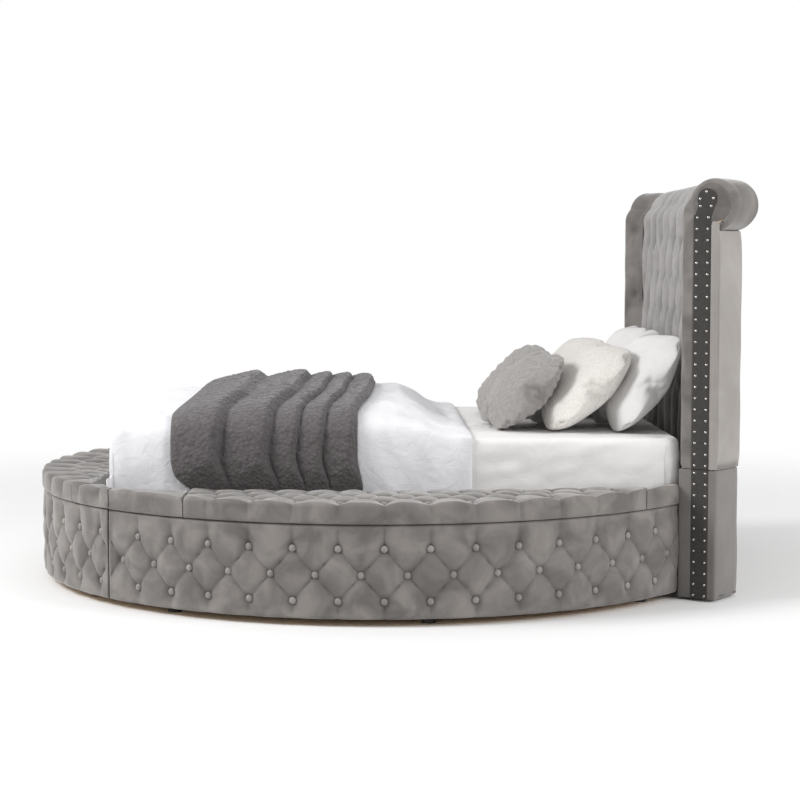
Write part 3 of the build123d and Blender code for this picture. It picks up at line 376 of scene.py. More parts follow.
def only(piece: bpy.types.Object) -> None:
    """Select one piece alone and make it active."""
    bpy.ops.object.select_all(action="DESELECT")
    piece.select_set(True)
    bpy.context.view_layer.objects.active = piece


def spots_of(piece: bpy.types.Object) -> np.ndarray:
    """The places of a piece's points."""
    spots = np.empty(len(piece.data.vertices) * 3)
    piece.data.vertices.foreach_get("co", spots)
    return spots.reshape(-1, 3)


def face_outwards() -> None:
    """Turn every face of the active piece outwards."""
    bpy.ops.object.mode_set(mode="EDIT")
    bpy.ops.mesh.select_all(action="SELECT")
    bpy.ops.mesh.normals_make_consistent(inside=False)
    bpy.ops.object.mode_set(mode="OBJECT")


def shaped(piece: bpy.types.Object, kind: str, **settings: object) -> None:
    """Put a modifier on a piece, with its settings, and apply it."""
    only(piece)
    modifier = piece.modifiers.new(kind.lower(), kind)
    for name, value in settings.items():
        setattr(modifier, name, value)
    bpy.ops.object.modifier_apply(modifier=modifier.name)


def normals_of(spots: np.ndarray) -> np.ndarray:
    """Unit normals of a grid of places."""
    ways = np.cross(np.gradient(spots, axis=0), np.gradient(spots, axis=1))
    return ways / np.maximum(np.linalg.norm(ways, axis=2, keepdims=True), 1e-12)


def unrolled(spots: np.ndarray) -> np.ndarray:
    """Flat places for a grid's texture: distances along its rows and, on average, its columns."""
    across = np.linalg.norm(np.diff(spots, axis=1, prepend=spots[:, :1]), axis=2)
    along = np.linalg.norm(np.diff(spots, axis=0, prepend=spots[:1]), axis=2).mean(axis=1, keepdims=True)
    return np.stack([np.cumsum(across, axis=1), np.cumsum(along, axis=0) + 0 * across], axis=2)


def skin(name: str, spots: np.ndarray, fold: np.ndarray | None = None, closed: bool = True,
         angle: float = 60.0) -> bpy.types.Object:
    """Bend a grid to a net of places, close it and smooth it.

    Args:
        name: The piece's name.
        spots: Places, by row and column.
        fold: How much painted shade each place gets, from 0 to 1, kept as its fold attribute.
        closed: Whether holes left at the ends are filled.
        angle: Edges sharper than this many degrees stay sharp.

    Returns:
        The piece.
    """
    rows, columns = spots.shape[:2]
    bpy.ops.object.select_all(action="DESELECT")
    bpy.ops.mesh.primitive_grid_add(x_subdivisions=columns - 1, y_subdivisions=rows - 1, size=2.0,
                                    location=(0, 0, 0))
    piece = bpy.context.object
    piece.name = name
    mesh = piece.data
    mesh.name = name
    flat = spots_of(piece)
    column = np.rint((flat[:, 0] + 1) / 2 * (columns - 1)).astype(int)
    row = np.rint((flat[:, 1] + 1) / 2 * (rows - 1)).astype(int)
    mesh.vertices.foreach_set("co", spots[row, column].astype(float).ravel())
    depth = np.zeros((rows, columns)) if fold is None else fold
    mesh.attributes.new("fold", "FLOAT", "POINT").data.foreach_set("value", depth[row, column])
    corners = np.empty(len(mesh.loops), dtype=int)
    mesh.loops.foreach_get("vertex_index", corners)
    net = unrolled(spots)
    mesh.uv_layers[0].data.foreach_set("uv", net[row[corners], column[corners]].ravel())
    bpy.ops.object.mode_set(mode="EDIT")
    bpy.ops.mesh.select_all(action="SELECT")
    bpy.ops.mesh.remove_doubles(threshold=2e-5)
    if closed:
        bpy.ops.mesh.fill_holes(sides=0)
    bpy.ops.object.mode_set(mode="OBJECT")
    face_outwards()
    bpy.ops.object.shade_smooth_by_angle(angle=math.radians(angle))
    return piece


def joined(name: str, pieces: list[bpy.types.Object]) -> bpy.types.Object:
    """Join pieces into one, under a name."""
    bpy.ops.object.select_all(action="DESELECT")
    for piece in pieces:
        piece.select_set(True)
    whole = pieces[0]
    bpy.context.view_layer.objects.active = whole
    if len(pieces) > 1:
        bpy.ops.object.join()
    whole.name = name
    whole.data.name = name
    bpy.ops.object.transform_apply(location=True, rotation=True, scale=True)
    return whole


def copied(model: bpy.types.Object, place: Matrix) -> bpy.types.Object:
    """Copy a piece, with a mesh of its own, to a place."""
    twin = model.copy()
    twin.data = model.data.copy()
    bpy.context.collection.objects.link(twin)
    twin.matrix_world = place
    return twin


def repeated(name: str, model: bpy.types.Object,
             places: list[tuple[Vector, Vector]]) -> bpy.types.Object:
    """Copy a small part to many places, and leave out the model.

    Args:
        name: The name of the whole.
        model: The part, modelled about the origin and looking up.
        places: Spots, and the ways that the part looks there.

    Returns:
        All the copies as one piece.
    """
    twins = [copied(model, Matrix.Translation(spot) @ out.to_track_quat("Z", "Y").to_matrix().to_4x4())
             for spot, out in places]
    bpy.data.objects.remove(model)
    return joined(name, twins)


def dome(radius: float, height: float, segments: int = 12, rings: int = 6) -> bpy.types.Object:
    """A low rounded cap about the origin, closed underneath."""
    bpy.ops.object.select_all(action="DESELECT")
    bpy.ops.mesh.primitive_uv_sphere_add(segments=segments, ring_count=rings, radius=1.0,
                                         location=(0, 0, 0))
    cap = bpy.context.object
    cap.scale = (radius, radius, height)
    bpy.ops.object.transform_apply(scale=True)
    bpy.ops.object.mode_set(mode="EDIT")
    bpy.ops.mesh.select_all(action="SELECT")
    bpy.ops.mesh.bisect(plane_co=(0, 0, 0), plane_no=(0, 0, 1), clear_inner=True, use_fill=True)
    bpy.ops.object.mode_set(mode="OBJECT")
    face_outwards()
    bpy.ops.object.shade_smooth_by_angle(angle=math.radians(50))
    return cap


# Soft forms

def smooth(value: np.ndarray) -> np.ndarray:
    """Ease from 0 to 1."""
    share = np.clip(value, 0, 1)
    return share * share * (3 - 2 * share)


def eased(value: np.ndarray, least: float) -> np.ndarray:
    """Ease from a least share to 1."""
    return least + (1 - least) * smooth(value)


def rounding(distance: np.ndarray, radius: float) -> np.ndarray:
    """How far a rounded edge drops at a distance in from it."""
    room = radius - np.clip(distance, 0, radius)
    return radius - np.sqrt(np.maximum(radius ** 2 - room ** 2, 0))


def stations(length: float, pitch: float, radius: float) -> np.ndarray:
    """Distances across a pad, close together over the rounding at each edge."""
    edge = radius * np.array([0.0, 0.06, 0.2, 0.42, 0.7])
    count = max(3, int((length - 2 * radius) / pitch))
    middle = np.linspace(radius, length - radius, count)
    return np.concatenate([edge, middle, length - edge[::-1]])


def path_of(knots: np.ndarray) -> np.ndarray:
    """Distances along a line of knots."""
    return np.concatenate([[0], np.cumsum(np.linalg.norm(np.diff(knots, axis=0), axis=1))])


def along_path(steps: np.ndarray, path: np.ndarray, knots: np.ndarray) -> np.ndarray:
    """Values of two columns of knots, at distances along their line."""
    return np.stack([np.interp(steps, path, knots[:, axis]) for axis in (0, 1)], axis=1)


@dataclass(frozen=True)
class Crumple:
    """Smooth seeded waves: their usual length, which set of them it is, and their height."""
    size: float
    seed: int
    height: float = 1.0
    waves: int = 26
    lengths: tuple[float, float] = (0.65, 1.6)

    def at(self, first: np.ndarray, second: np.ndarray) -> np.ndarray:
        """Add the waves up at places.

        Args:
            first: One coordinate, in metres.
            second: The other coordinate.

        Returns:
            Heights, mostly between the crumple's height below nothing and above it.
        """
        rng = np.random.default_rng(self.seed)
        total = np.zeros(np.broadcast(first, second).shape)
        for _ in range(self.waves):
            turn, phase = rng.uniform(0, 2 * math.pi, 2)
            length = self.size * rng.uniform(*self.lengths)
            across = first * math.cos(turn) + second * math.sin(turn)
            total += np.sin(across * 2 * math.pi / length + phase)
        return total / math.sqrt(self.waves) * self.height


def dress(piece: bpy.types.Object, finish: Finish, body: str, nodes: tuple[str, ...] = ()) -> None:
    """Give a piece its finish, its body and the nodes that it stands for."""
    piece.data.materials.clear()
    piece.data.materials.append(finish.material())
    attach(piece, body)
    if nodes:
        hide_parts(*nodes)
    log.info("%s: %d faces on %s", piece.name, len(piece.data.polygons), body)


# The ring

class Side(Enum):
    """The three boxes of the ring."""
    RIGHT = "right"
    LEFT = "left"
    FOOT = "foot"

    def lay(self, spots: np.ndarray) -> np.ndarray:
        """Move places drawn on the +X side of the ring to this side."""
        x, y, z = spots[..., 0], spots[..., 1], spots[..., 2]
        if self is Side.LEFT:
            return np.stack([-x, y, z], axis=-1)
        if self is Side.FOOT:
            return np.stack([y, -x, z], axis=-1)
        return spots


@dataclass(frozen=True)
class Tufting:
    """Diamond tufting: half columns by rows, with a button wherever their sum is even."""
    rows: int
    pleat: float
    dimple: float
    button: float
    run_out: float
    sharpness: float = 0.34

    def depth(self, column: np.ndarray, row: np.ndarray, half: np.ndarray | float,
              pitch: float) -> np.ndarray:
        """How far the cloth is drawn in from its crown.

        Args:
            column: Half columns across.
            row: Rows down from the first row of buttons.
            half: Width of a half column.
            pitch: Height of a row.

        Returns:
            Depths in metres.
        """
        inside = np.clip(row, 0, self.rows - 1)
        out = np.clip(np.maximum(-row, row - (self.rows - 1)), 0, 1)
        first, second = (column + inside) / 2, (column - inside) / 2
        swell = (np.abs(np.sin(math.pi * first)) * np.abs(np.sin(math.pi * second))) ** self.sharpness
        near_first, near_second = np.rint(first), np.rint(second)
        beside = (column - near_first - near_second) * half
        above = (row - (near_first - near_second)) * pitch
        pull = np.exp(-(beside ** 2 + above ** 2) / self.button ** 2)
        return self.pleat * (1 - swell) * (1 - self.run_out * out) + self.dimple * pull


def painted_fold_shade(depth: np.ndarray, full: float) -> np.ndarray:
    """How much painted shade a fold gets, where one of the full depth gets the most."""
    return np.clip(depth / full, 0, 1) ** 2


@dataclass
class Ring:
    """Sizes that the ring's padded pieces share."""
    radius: float = 1.325
    chord: float = 0.965
    base: float = 0.025
    skirt_top: float = 0.342
    skirt_lip: float = 1.308
    skirt_back: float = 1.3013
    swell: float = 0.006
    crown: float = 0.419
    fall: float = 0.012
    board_top: float = 0.3606
    lid_bottom: float = 0.3453
    spacing: float = 0.156
    skirt_first: float = 0.261
    skirt_pitch: float = 0.088
    skirt_rows: int = 3
    lid_first: float = 0.087
    lid_pitch: float = 0.084
    lid_rows: int = 4
    button_seat: float = 0.0165
    wing_angle: float = 53.46
    well: float = 0.775
    lid_edge: float = 0.857
    foot_lid_edge: float = 1.047
    gap: float = 0.0008
    grain: float = 0.0052

    def __post_init__(self) -> None:
        """Work out the angle of a half column and the tufting of each face."""
        self.half = self.spacing / self.radius / 2
        self.skirt_tufts = Tufting(self.skirt_rows, pleat=0.016, dimple=0.008, button=0.020, run_out=0.20)
        self.lid_tufts = Tufting(self.lid_rows, pleat=0.016, dimple=0.008, button=0.020, run_out=0.15)

    def columns(self, low: float, high: float, margin: float) -> range:
        """Half columns between two angles, clear of both by a margin."""
        return range(math.ceil((low + margin) / self.half), math.floor((high - margin) / self.half) + 1)


@dataclass
class Skirt:
    """The tufted face of one box."""
    ring: Ring
    side: Side
    edge_round: float = 0.011
    end_reach: float = 0.12
    end_ease: float = 0.035
    edge_ease: float = 0.03
    edge_share: float = 0.35
    crumple: Crumple = Crumple(0.09, 11, 0.0008)
    fold_depth: float = 0.018

    def ends(self, radius: np.ndarray) -> tuple[np.ndarray, np.ndarray]:
        """The angles at which the skirt starts and stops, at each radius."""
        ring = self.ring
        if self.side is Side.FOOT:
            turn = np.arccos(ring.chord / radius)
            return -turn, turn
        low = -np.arcsin((ring.chord - ring.gap) / radius)
        return low, np.full_like(radius, math.radians(ring.wing_angle))

    def section(self) -> tuple[np.ndarray, np.ndarray, np.ndarray]:
        """Radius, height and share of tufting round the section, from its top at the back."""
        ring, edge = self.ring, self.edge_round
        tall = ring.skirt_top - ring.base
        heights = stations(tall, ring.grain, edge)[::-1] + ring.base
        middle = (ring.skirt_top + ring.base) / 2
        crown = ring.radius - ring.swell * ((heights - middle) / (tall / 2)) ** 2
        ends = np.minimum(ring.skirt_top - heights, heights - ring.base)
        face = crown - rounding(ends, edge)
        lip, back = ring.skirt_lip, ring.skirt_back
        radius = np.concatenate([[back, lip], face, [lip, back, back]])
        height = np.concatenate([[ring.skirt_top] * 2, heights, [ring.base] * 2, [ring.skirt_top]])
        share = np.concatenate([[0, 0], eased(ends / self.edge_ease, self.edge_share), [0, 0, 0]])
        return radius, height, share

    def build(self) -> None:
        """Bend, tuft and dress the skirt."""
        ring = self.ring
        radius, height, share = (line[None, :] for line in self.section())
        low, high = (turn[0] for turn in self.ends(np.array([ring.radius])))
        reach = stations((high - low) * ring.radius, ring.grain, self.edge_round)[:, None] / ring.radius
        turn = low + reach
        row = (ring.skirt_first - height) / ring.skirt_pitch
        depth = ring.skirt_tufts.depth(turn / ring.half, row, ring.spacing / 2, ring.skirt_pitch)
        ends = np.minimum(reach, reach[-1] - reach) * ring.radius
        depth = depth * share * smooth(ends / self.end_ease + 0.15)
        wave = self.crumple.at(turn * ring.radius, height) * share
        out = radius - depth - wave - rounding(ends, self.edge_round) * (share > 0)
        out = np.maximum(out, ring.skirt_back)
        first, last = self.ends(out)
        near_low = smooth(1 - reach / self.end_reach)
        near_high = smooth(1 - (reach[-1] - reach) / self.end_reach)
        angle = turn + (first - low) * near_low + (last - high) * near_high
        spots = np.stack([out * np.cos(angle), out * np.sin(angle), height + 0 * out], axis=2)
        name = f"{self.side.value}_skirt"
        # Painted shade in the tufts' folds, stored as the fold attribute
        piece = skin(f"tufted_{name}", self.side.lay(spots), painted_fold_shade(depth, self.fold_depth))
        dress(piece, GREY_VELVET, "bed", (name,))

    def button_places(self) -> list[tuple[Vector, Vector]]:
        """Spots of the skirt's buttons and the ways that they look."""
        ring = self.ring
        low, high = (float(turn[0]) for turn in self.ends(np.array([ring.radius])))
        places = []
        for column in ring.columns(low, high, ring.half * 0.75):
            for row in range(ring.skirt_rows):
                if (column + row) % 2 == 0:
                    height = ring.skirt_first - row * ring.skirt_pitch
                    turn = column * ring.half
                    out = np.array([math.cos(turn), math.sin(turn), 0.0])
                    spot = self.side.lay(out * (ring.radius - ring.button_seat) + np.array([0, 0, height]))
                    places.append((Vector(spot), Vector(self.side.lay(out))))
        return places


@dataclass
class PlanPad:
    """A pad on top of a box, between the ring's rim and an inner line."""
    ring: Ring
    side: Side
    name: str
    nodes: tuple[str, ...]
    body: str
    rim: tuple[float, float]
    inner: tuple[tuple[float, float], ...]
    tufted: bool = True
    wraps: bool = False
    rim_round: float = 0.017
    inner_round: float = 0.020
    hem: float = 0.0247
    fold_depth: float = 0.018
    edge_ease: float = 0.04
    edge_share: float = 0.35
    low_share: float = 0.6
    low_drop: float = 0.062
    low_reach: float = 0.05
    dome: float = 0.004
    dome_reach: float = 0.09
    plain_crumple: Crumple = Crumple(0.12, 5, 0.0012)
    fine_crumple: Crumple = Crumple(0.08, 7, 0.0007)
    side_rows: int = 8
    round_rows: int = 7

    def section(self, length: float) -> np.ndarray:
        """The section in from the rim, of a pad of the greatest length.

        Args:
            length: The greatest length from the rim to the inner line.

        Returns:
            Fixed distances in, shares of the length, drops, and the cloth's ways in and up.
        """
        ring, edge, back = self.ring, self.rim_round, self.inner_round
        tall = ring.crown - ring.lid_bottom
        start = ring.crown - (ring.board_top if self.wraps else ring.lid_bottom)
        turns = np.radians(np.linspace(0, 90, self.round_rows))[1:]
        points = [(self.hem, 0, start, 0, 0), (self.hem, 0, tall, 0, 0), (0.006, 0, tall, 0, 0),
                  (0.002, 0, tall - 0.004, 0.3, 0)]
        points += [(0, 0, level, 1, 0) for level in np.linspace(tall - 0.014, edge, self.side_rows)]
        points += [(edge - edge * math.cos(turn), 0, edge - edge * math.sin(turn), math.cos(turn),
                    math.sin(turn)) for turn in turns]
        count = max(4, int((length - edge - back) / ring.grain))
        points += [(edge * (1 - step) - back * step, step, 0, 0, 1)
                   for step in np.linspace(0, 1, count + 1)[1:]]
        points += [(-back + back * math.cos(turn), 1, back - back * math.sin(turn), 0, math.sin(turn))
                   for turn in turns[::-1]]
        points.append((0, 1, start - ring.fall, 0, 0))
        return np.array(points, dtype=float).T

    def drawn(self, spot: np.ndarray, inside: np.ndarray, weight: np.ndarray, drop: np.ndarray,
              face: np.ndarray) -> np.ndarray:
        """How far the cloth is drawn in.

        Args:
            spot: Places in plan, by place along the rim and point of the section.
            inside: Distances in from the nearest end or inner edge.
            weight: How free the cloth is at each point of the section.
            drop: How far each point of the section lies under the crown.
            face: Whether each point of the section is on the top face.

        Returns:
            Depths in metres.
        """
        ring = self.ring
        x, y = spot[..., 0], spot[..., 1]
        if self.tufted:
            offset = ring.radius - np.linalg.norm(spot, axis=2)
            row = (offset - np.where(face, 0, drop) - ring.lid_first) / ring.lid_pitch
            half = ring.spacing / 2 * (ring.radius - offset) / ring.radius
            depth = ring.lid_tufts.depth(np.arctan2(y, x) / ring.half, row, half, ring.lid_pitch)
            depth = depth * weight * eased(inside / self.edge_ease, self.edge_share)
            low = eased((self.low_drop - drop) / self.low_reach, self.low_share)
            depth = depth * np.where(face, 1, low)
        else:
            depth = self.dome * (1 - smooth(inside / self.dome_reach)) * weight
            depth = depth + self.plain_crumple.at(x, y) * weight
        return depth + self.fine_crumple.at(x, y) * weight

    def build(self) -> bpy.types.Object:
        """Lay out, tuft and dress the pad."""
        ring = self.ring
        low, high = (math.asin(end / ring.radius) for end in self.rim)
        across = abs(high - low) * ring.radius
        reach = np.concatenate([[0.0], stations(across, ring.grain, self.rim_round) / across, [1.0]])
        turn = low + (high - low) * reach
        rim = np.stack([ring.radius * np.cos(turn), ring.radius * np.sin(turn)], axis=1)
        knots = np.array(self.inner)
        path = path_of(knots)
        inner = along_path(reach * path[-1], path, knots)
        length = np.linalg.norm(rim - inner, axis=1)[:, None]
        fixed, share, drop, way_in, way_up = (line[None, :] for line in self.section(float(length.max())))
        scale = np.minimum(1.0, length / (self.rim_round + self.inner_round + 0.004))
        inward = fixed * np.where(fixed == self.hem, 1, scale) + share * length
        spot = rim[:, None, :] + (inner - rim)[:, None, :] * (inward / length)[:, :, None]
        ends = (np.minimum(reach, 1 - reach) * across)[:, None]
        depth = self.drawn(spot, np.minimum(ends, length - inward), np.hypot(way_in, way_up), drop, share > 0)
        crown = ring.crown - ring.fall * (inward / length.max()) ** 2
        rounded = np.where(drop < 0.03, rounding(ends, self.rim_round) * 0.8, 0)
        height = crown - drop - depth * way_up - rounded
        height[0] = height[-1] = ring.board_top if self.wraps else ring.lid_bottom
        toward = (inner - rim) / length
        spot = spot + toward[:, None, :] * (depth * way_in)[:, :, None]
        spots = np.concatenate([spot, height[:, :, None]], axis=2)
        # Painted shade in the tufts' folds, none on plain pads
        fold = painted_fold_shade(depth, self.fold_depth) if self.tufted else 0 * depth
        piece = skin(self.name, self.side.lay(spots), fold)
        dress(piece, GREY_VELVET, self.body, self.nodes)
        return piece

    def button_places(self, inner_edge: float) -> list[tuple[Vector, Vector]]:
        """Spots of a lid's buttons, where the pad is wide enough for them."""
        ring = self.ring
        low, high = self.rim
        places = []
        for column in ring.columns(*(math.asin(end / ring.radius) for end in self.rim), ring.half / 4):
            turn = column * ring.half
            room = ring.radius - inner_edge / math.cos(turn)
            for row in range(ring.lid_rows):
                offset = ring.lid_first + row * ring.lid_pitch
                out = np.array([math.cos(turn), math.sin(turn), 0.0]) * (ring.radius - offset)
                clear = low + ring.spacing / 3 < out[1] < high - ring.spacing / 3
                if (column + row) % 2 == 0 and offset < room - ring.lid_pitch and clear:
                    height = ring.crown - ring.fall * (offset / room) ** 2 - ring.button_seat
                    spot = self.side.lay(out + np.array([0, 0, height]))
                    places.append((Vector(spot), Vector((0, 0, 1))))
        return places


@dataclass
class RingPads:
    """All the padded pieces of the three boxes, with their ends along Y on the +X side."""
    ring: Ring = field(default_factory=Ring)
    button_radius: float = 0.0125
    button_height: float = 0.0075
    seat_gap: float = 0.0004
    side_lid: tuple[float, float] = (-0.680, 0.920)
    foot_lid: tuple[float, float] = (-0.700, 0.700)
    side_foot_corner: tuple[float, float] = (-0.9642, -0.684)
    side_head_corner: tuple[float, float] = (0.924, 1.0646)
    head_corner_well: float = 1.0450
    foot_corner: tuple[float, float] = (0.704, 0.9078)
    foot_corner_inner: tuple[tuple[float, float], ...] = ((0.991, 0.704), (0.991, 0.749), (0.966, 0.812))
    side_rail: tuple[float, float] = (-0.9642, 0.9237)
    foot_rail: tuple[float, float] = (-0.7037, 0.7037)
    rail_profile: tuple[tuple[float, float], ...] = (
        (0.0, 0.0), (0.0, 0.0016), (0.0006, 0.0026), (0.002, 0.003), (0.02, 0.0034), (0.045, 0.0034),
        (0.0625, 0.003), (0.0642, 0.0026), (0.065, 0.0016), (0.065, 0.0), (0.0, 0.0))

    def build(self) -> None:
        """Build skirts, lids, corner pads, rail pads and buttons."""
        places = []
        for side in Side:
            skirt = Skirt(self.ring, side)
            skirt.build()
            places += skirt.button_places()
        self.buttons("skirt", places, "bed")
        for side in Side:
            self.lid(side)
        self.corners()
        self.rails()

    def buttons(self, name: str, places: list[tuple[Vector, Vector]], body: str) -> None:
        """Set covered buttons at their places."""
        whole = repeated(f"covered_{name}_buttons", dome(self.button_radius, self.button_height), places)
        dress(whole, BUTTON_VELVET, body, (f"{name}_buttons",))

    def lid(self, side: Side) -> None:
        """Build one lid's pad and buttons."""
        ring = self.ring
        ends, edge = self.side_lid, ring.lid_edge
        if side is Side.FOOT:
            ends, edge = self.foot_lid, ring.foot_lid_edge
        body = f"{side.value}_lid"
        pad = PlanPad(ring, side, f"tufted_{body}", (f"{body}_pad",), body, ends,
                      tuple((edge + self.seat_gap, end) for end in ends), wraps=True)
        pad.build()
        self.buttons(body, pad.button_places(edge), body)

    def corners(self) -> None:
        """Build the fixed pads beyond the ends of the lids; the right ones stand for each pair's node."""
        ring = self.ring
        for side in (Side.RIGHT, Side.LEFT):
            first = side is Side.RIGHT
            ends = self.side_foot_corner
            nodes = ("side_foot_corner_pads",) if first else ()
            PlanPad(ring, side, f"{side.value}_foot_corner", nodes, "bed", ends,
                    tuple((ring.lid_edge, end) for end in ends), tufted=False).build()
            ends = self.side_head_corner
            nodes = ("side_head_corner_pads",) if first else ()
            PlanPad(ring, side, f"{side.value}_head_corner", nodes, "bed", ends,
                    ((ring.well, ends[0]), (ring.well, self.head_corner_well)), tufted=False,
                    rim_round=0.012, inner_round=0.008).build()
        for name, nodes in (("right", ("foot_box_corner_pads",)), ("left", ())):
            piece = PlanPad(ring, Side.FOOT, f"foot_box_corner_{name}", nodes, "bed", self.foot_corner,
                            self.foot_corner_inner, fold_depth=0.02).build()
            if name == "left":
                only(piece)
                piece.scale = (-1, 1, 1)
                bpy.ops.object.transform_apply(scale=True)
                face_outwards()

    def rails(self) -> None:
        """Build the thin padded strips on the hinge rails."""
        ring = self.ring
        across, rise = (line[None, :] for line in np.array(self.rail_profile).T)
        strips = []
        for side in Side:
            (low, high), inner = (self.side_rail, ring.well)
            if side is Side.FOOT:
                (low, high), inner = (self.foot_rail, ring.chord)
            reach = stations(high - low, 0.02, 0.002)[:, None] + low
            x = inner + across + 0 * reach
            spots = np.stack([x, reach + 0 * x, ring.board_top + rise + 0 * x], axis=2)
            strips.append(skin(f"{side.value}_rail_pad", side.lay(spots), angle=80))
        dress(joined("padded_rails", strips), GREY_VELVET, "bed", ("rail_pads",))


# The headboard

@dataclass
class HeadPlan:
    """The headboard's plan: a straight panel between two wings, measured back from its front."""
    turn: float = 53.5
    overlap: float = 0.012
    wing: float = 0.120
    ring_radius: float = 1.325
    height: float = 1.506
    split: float = 0.472
    upper: float = 0.474
    floor_gap: float = 0.008
    pad: float = 0.052
    lip: float = 0.016
    lip_round: float = 0.014
    straight_end: float = 0.128
    bend_end: float = 0.098
    roll: float = 0.094
    core: float = 0.060
    core_depth: float = 0.123
    core_height: float = 1.412
    tuck: float = 78.0
    start: float = 165.0
    columns: int = 8
    first_row: float = 1.335
    pitch: float = 0.137
    rows: int = 6
    grain: float = 0.0058

    def __post_init__(self) -> None:
        """Work out the wing's directions and corners."""
        turn = math.radians(self.turn)
        self.lean = np.array([math.cos(turn), math.sin(turn)])
        self.along = np.array([math.sin(turn), -math.cos(turn)])
        self.edge = self.lean * (self.ring_radius - self.overlap)
        self.corner = self.edge - self.along * self.wing
        self.slant = self.lean[0] / (1 + self.lean[1])
        self.front = self.corner[1]

    def wing_spots(self, away: np.ndarray, depth: np.ndarray, height: np.ndarray) -> np.ndarray:
        """Places on the right wing.

        Args:
            away: Distance back from the wing's edge, or past it where it is negative.
            depth: Distance behind the front.
            height: Height above the floor.

        Returns:
            Places, by distance and by point of the section.
        """
        x = self.edge[0] - self.along[0] * away + self.lean[0] * depth
        y = self.edge[1] - self.along[1] * away + self.lean[1] * depth
        return np.stack([x, y, height + 0 * x], axis=-1)

    def mitred(self, near: np.ndarray, depth: np.ndarray) -> np.ndarray:
        """Distances back along a wing that grows longer with its depth, up to the mitre."""
        return near + depth * math.tan(math.radians(90 - self.turn) / 2) * (near / self.wing) ** 2

    def rounded_end(self, radius: float, turn: float, fine: int,
                    coarse: int) -> tuple[np.ndarray, np.ndarray]:
        """Rows of a wing's pad, close together over the rounding at its edge.

        Args:
            radius: The rounding's radius.
            turn: The angle that it turns through, in degrees.
            fine: Rows over the rounding.
            coarse: Rows from there to the mitre, counting the last of the rounding.

        Returns:
            Distances back from the edge, and how far the rounding drops there.
        """
        turns = np.radians(np.linspace(turn, 0, fine))
        rest = np.linspace(radius, self.wing, coarse)[1:]
        near = np.concatenate([radius * (1 - np.sin(turns)), rest])
        drop = np.concatenate([radius * (1 - np.cos(turns)), 0 * rest])
        return near[:, None], drop[:, None]

    def round_core(self, radius: float, degrees: float) -> tuple[float, float]:
        """Depth and height of a place round the scroll's middle."""
        turn = math.radians(degrees)
        return self.core_depth + radius * math.cos(turn), self.core_height + radius * math.sin(turn)

    def section(self) -> tuple[np.ndarray, ...]:
        """The padded section, up its face, round the scroll and back down behind the pad.

        Returns:
            Depths, heights, outward ways back and up, rows of tufts below the first one, and how
            free the cloth is, each as one row.
        """
        points = [(self.pad, self.upper, 0), (self.lip, self.upper, 0)]
        points += [(self.lip - self.lip_round * math.sin(turn),
                    self.upper + self.lip_round * (1 - math.cos(turn)), 0.4)
                   for turn in np.radians([25, 50, 75])]
        foot, bend = self.height - self.straight_end, self.height - self.bend_end
        points += [(0.002 * (1 - smooth((height - self.upper) / 0.08)), height, 1)
                   for height in np.arange(self.upper + self.lip, foot, self.grain)]
        mouth = self.round_core(self.roll, self.start)
        for step in np.linspace(0, 1, 13)[1:-1]:
            height = (1 - step) ** 2 * foot + 2 * step * (1 - step) * bend + step ** 2 * mouth[1]
            points.append((step ** 2 * mouth[0], height, 1))
        points += [(*self.round_core(self.roll, degrees), eased((degrees + self.tuck) / 40, 0.3))
                   for degrees in np.linspace(self.start, -self.tuck, 62)]
        points += [(*self.round_core(self.core + 0.001, degrees), 0)
                   for degrees in np.linspace(-self.tuck, self.start, 14)]
        points += [(self.pad, self.core_height - self.core, 0), (self.pad, self.upper, 0)]
        depth, height, share = np.array(points, dtype=float).T
        path = path_of(np.stack([depth, height], axis=1))
        near = path[np.argmin(np.where(share > 0.9, np.abs(height - self.first_row) + depth, 9))]
        row = np.where((height <= self.first_row) & (path <= near), self.first_row - height,
                       near - path) / self.pitch
        tangent = np.stack([np.gradient(depth), np.gradient(height)], axis=1)
        tangent /= np.maximum(np.linalg.norm(tangent, axis=1, keepdims=True), 1e-9)
        lines = (depth, height, -tangent[:, 1], tangent[:, 0], row, share)
        return tuple(line[None, :] for line in lines)


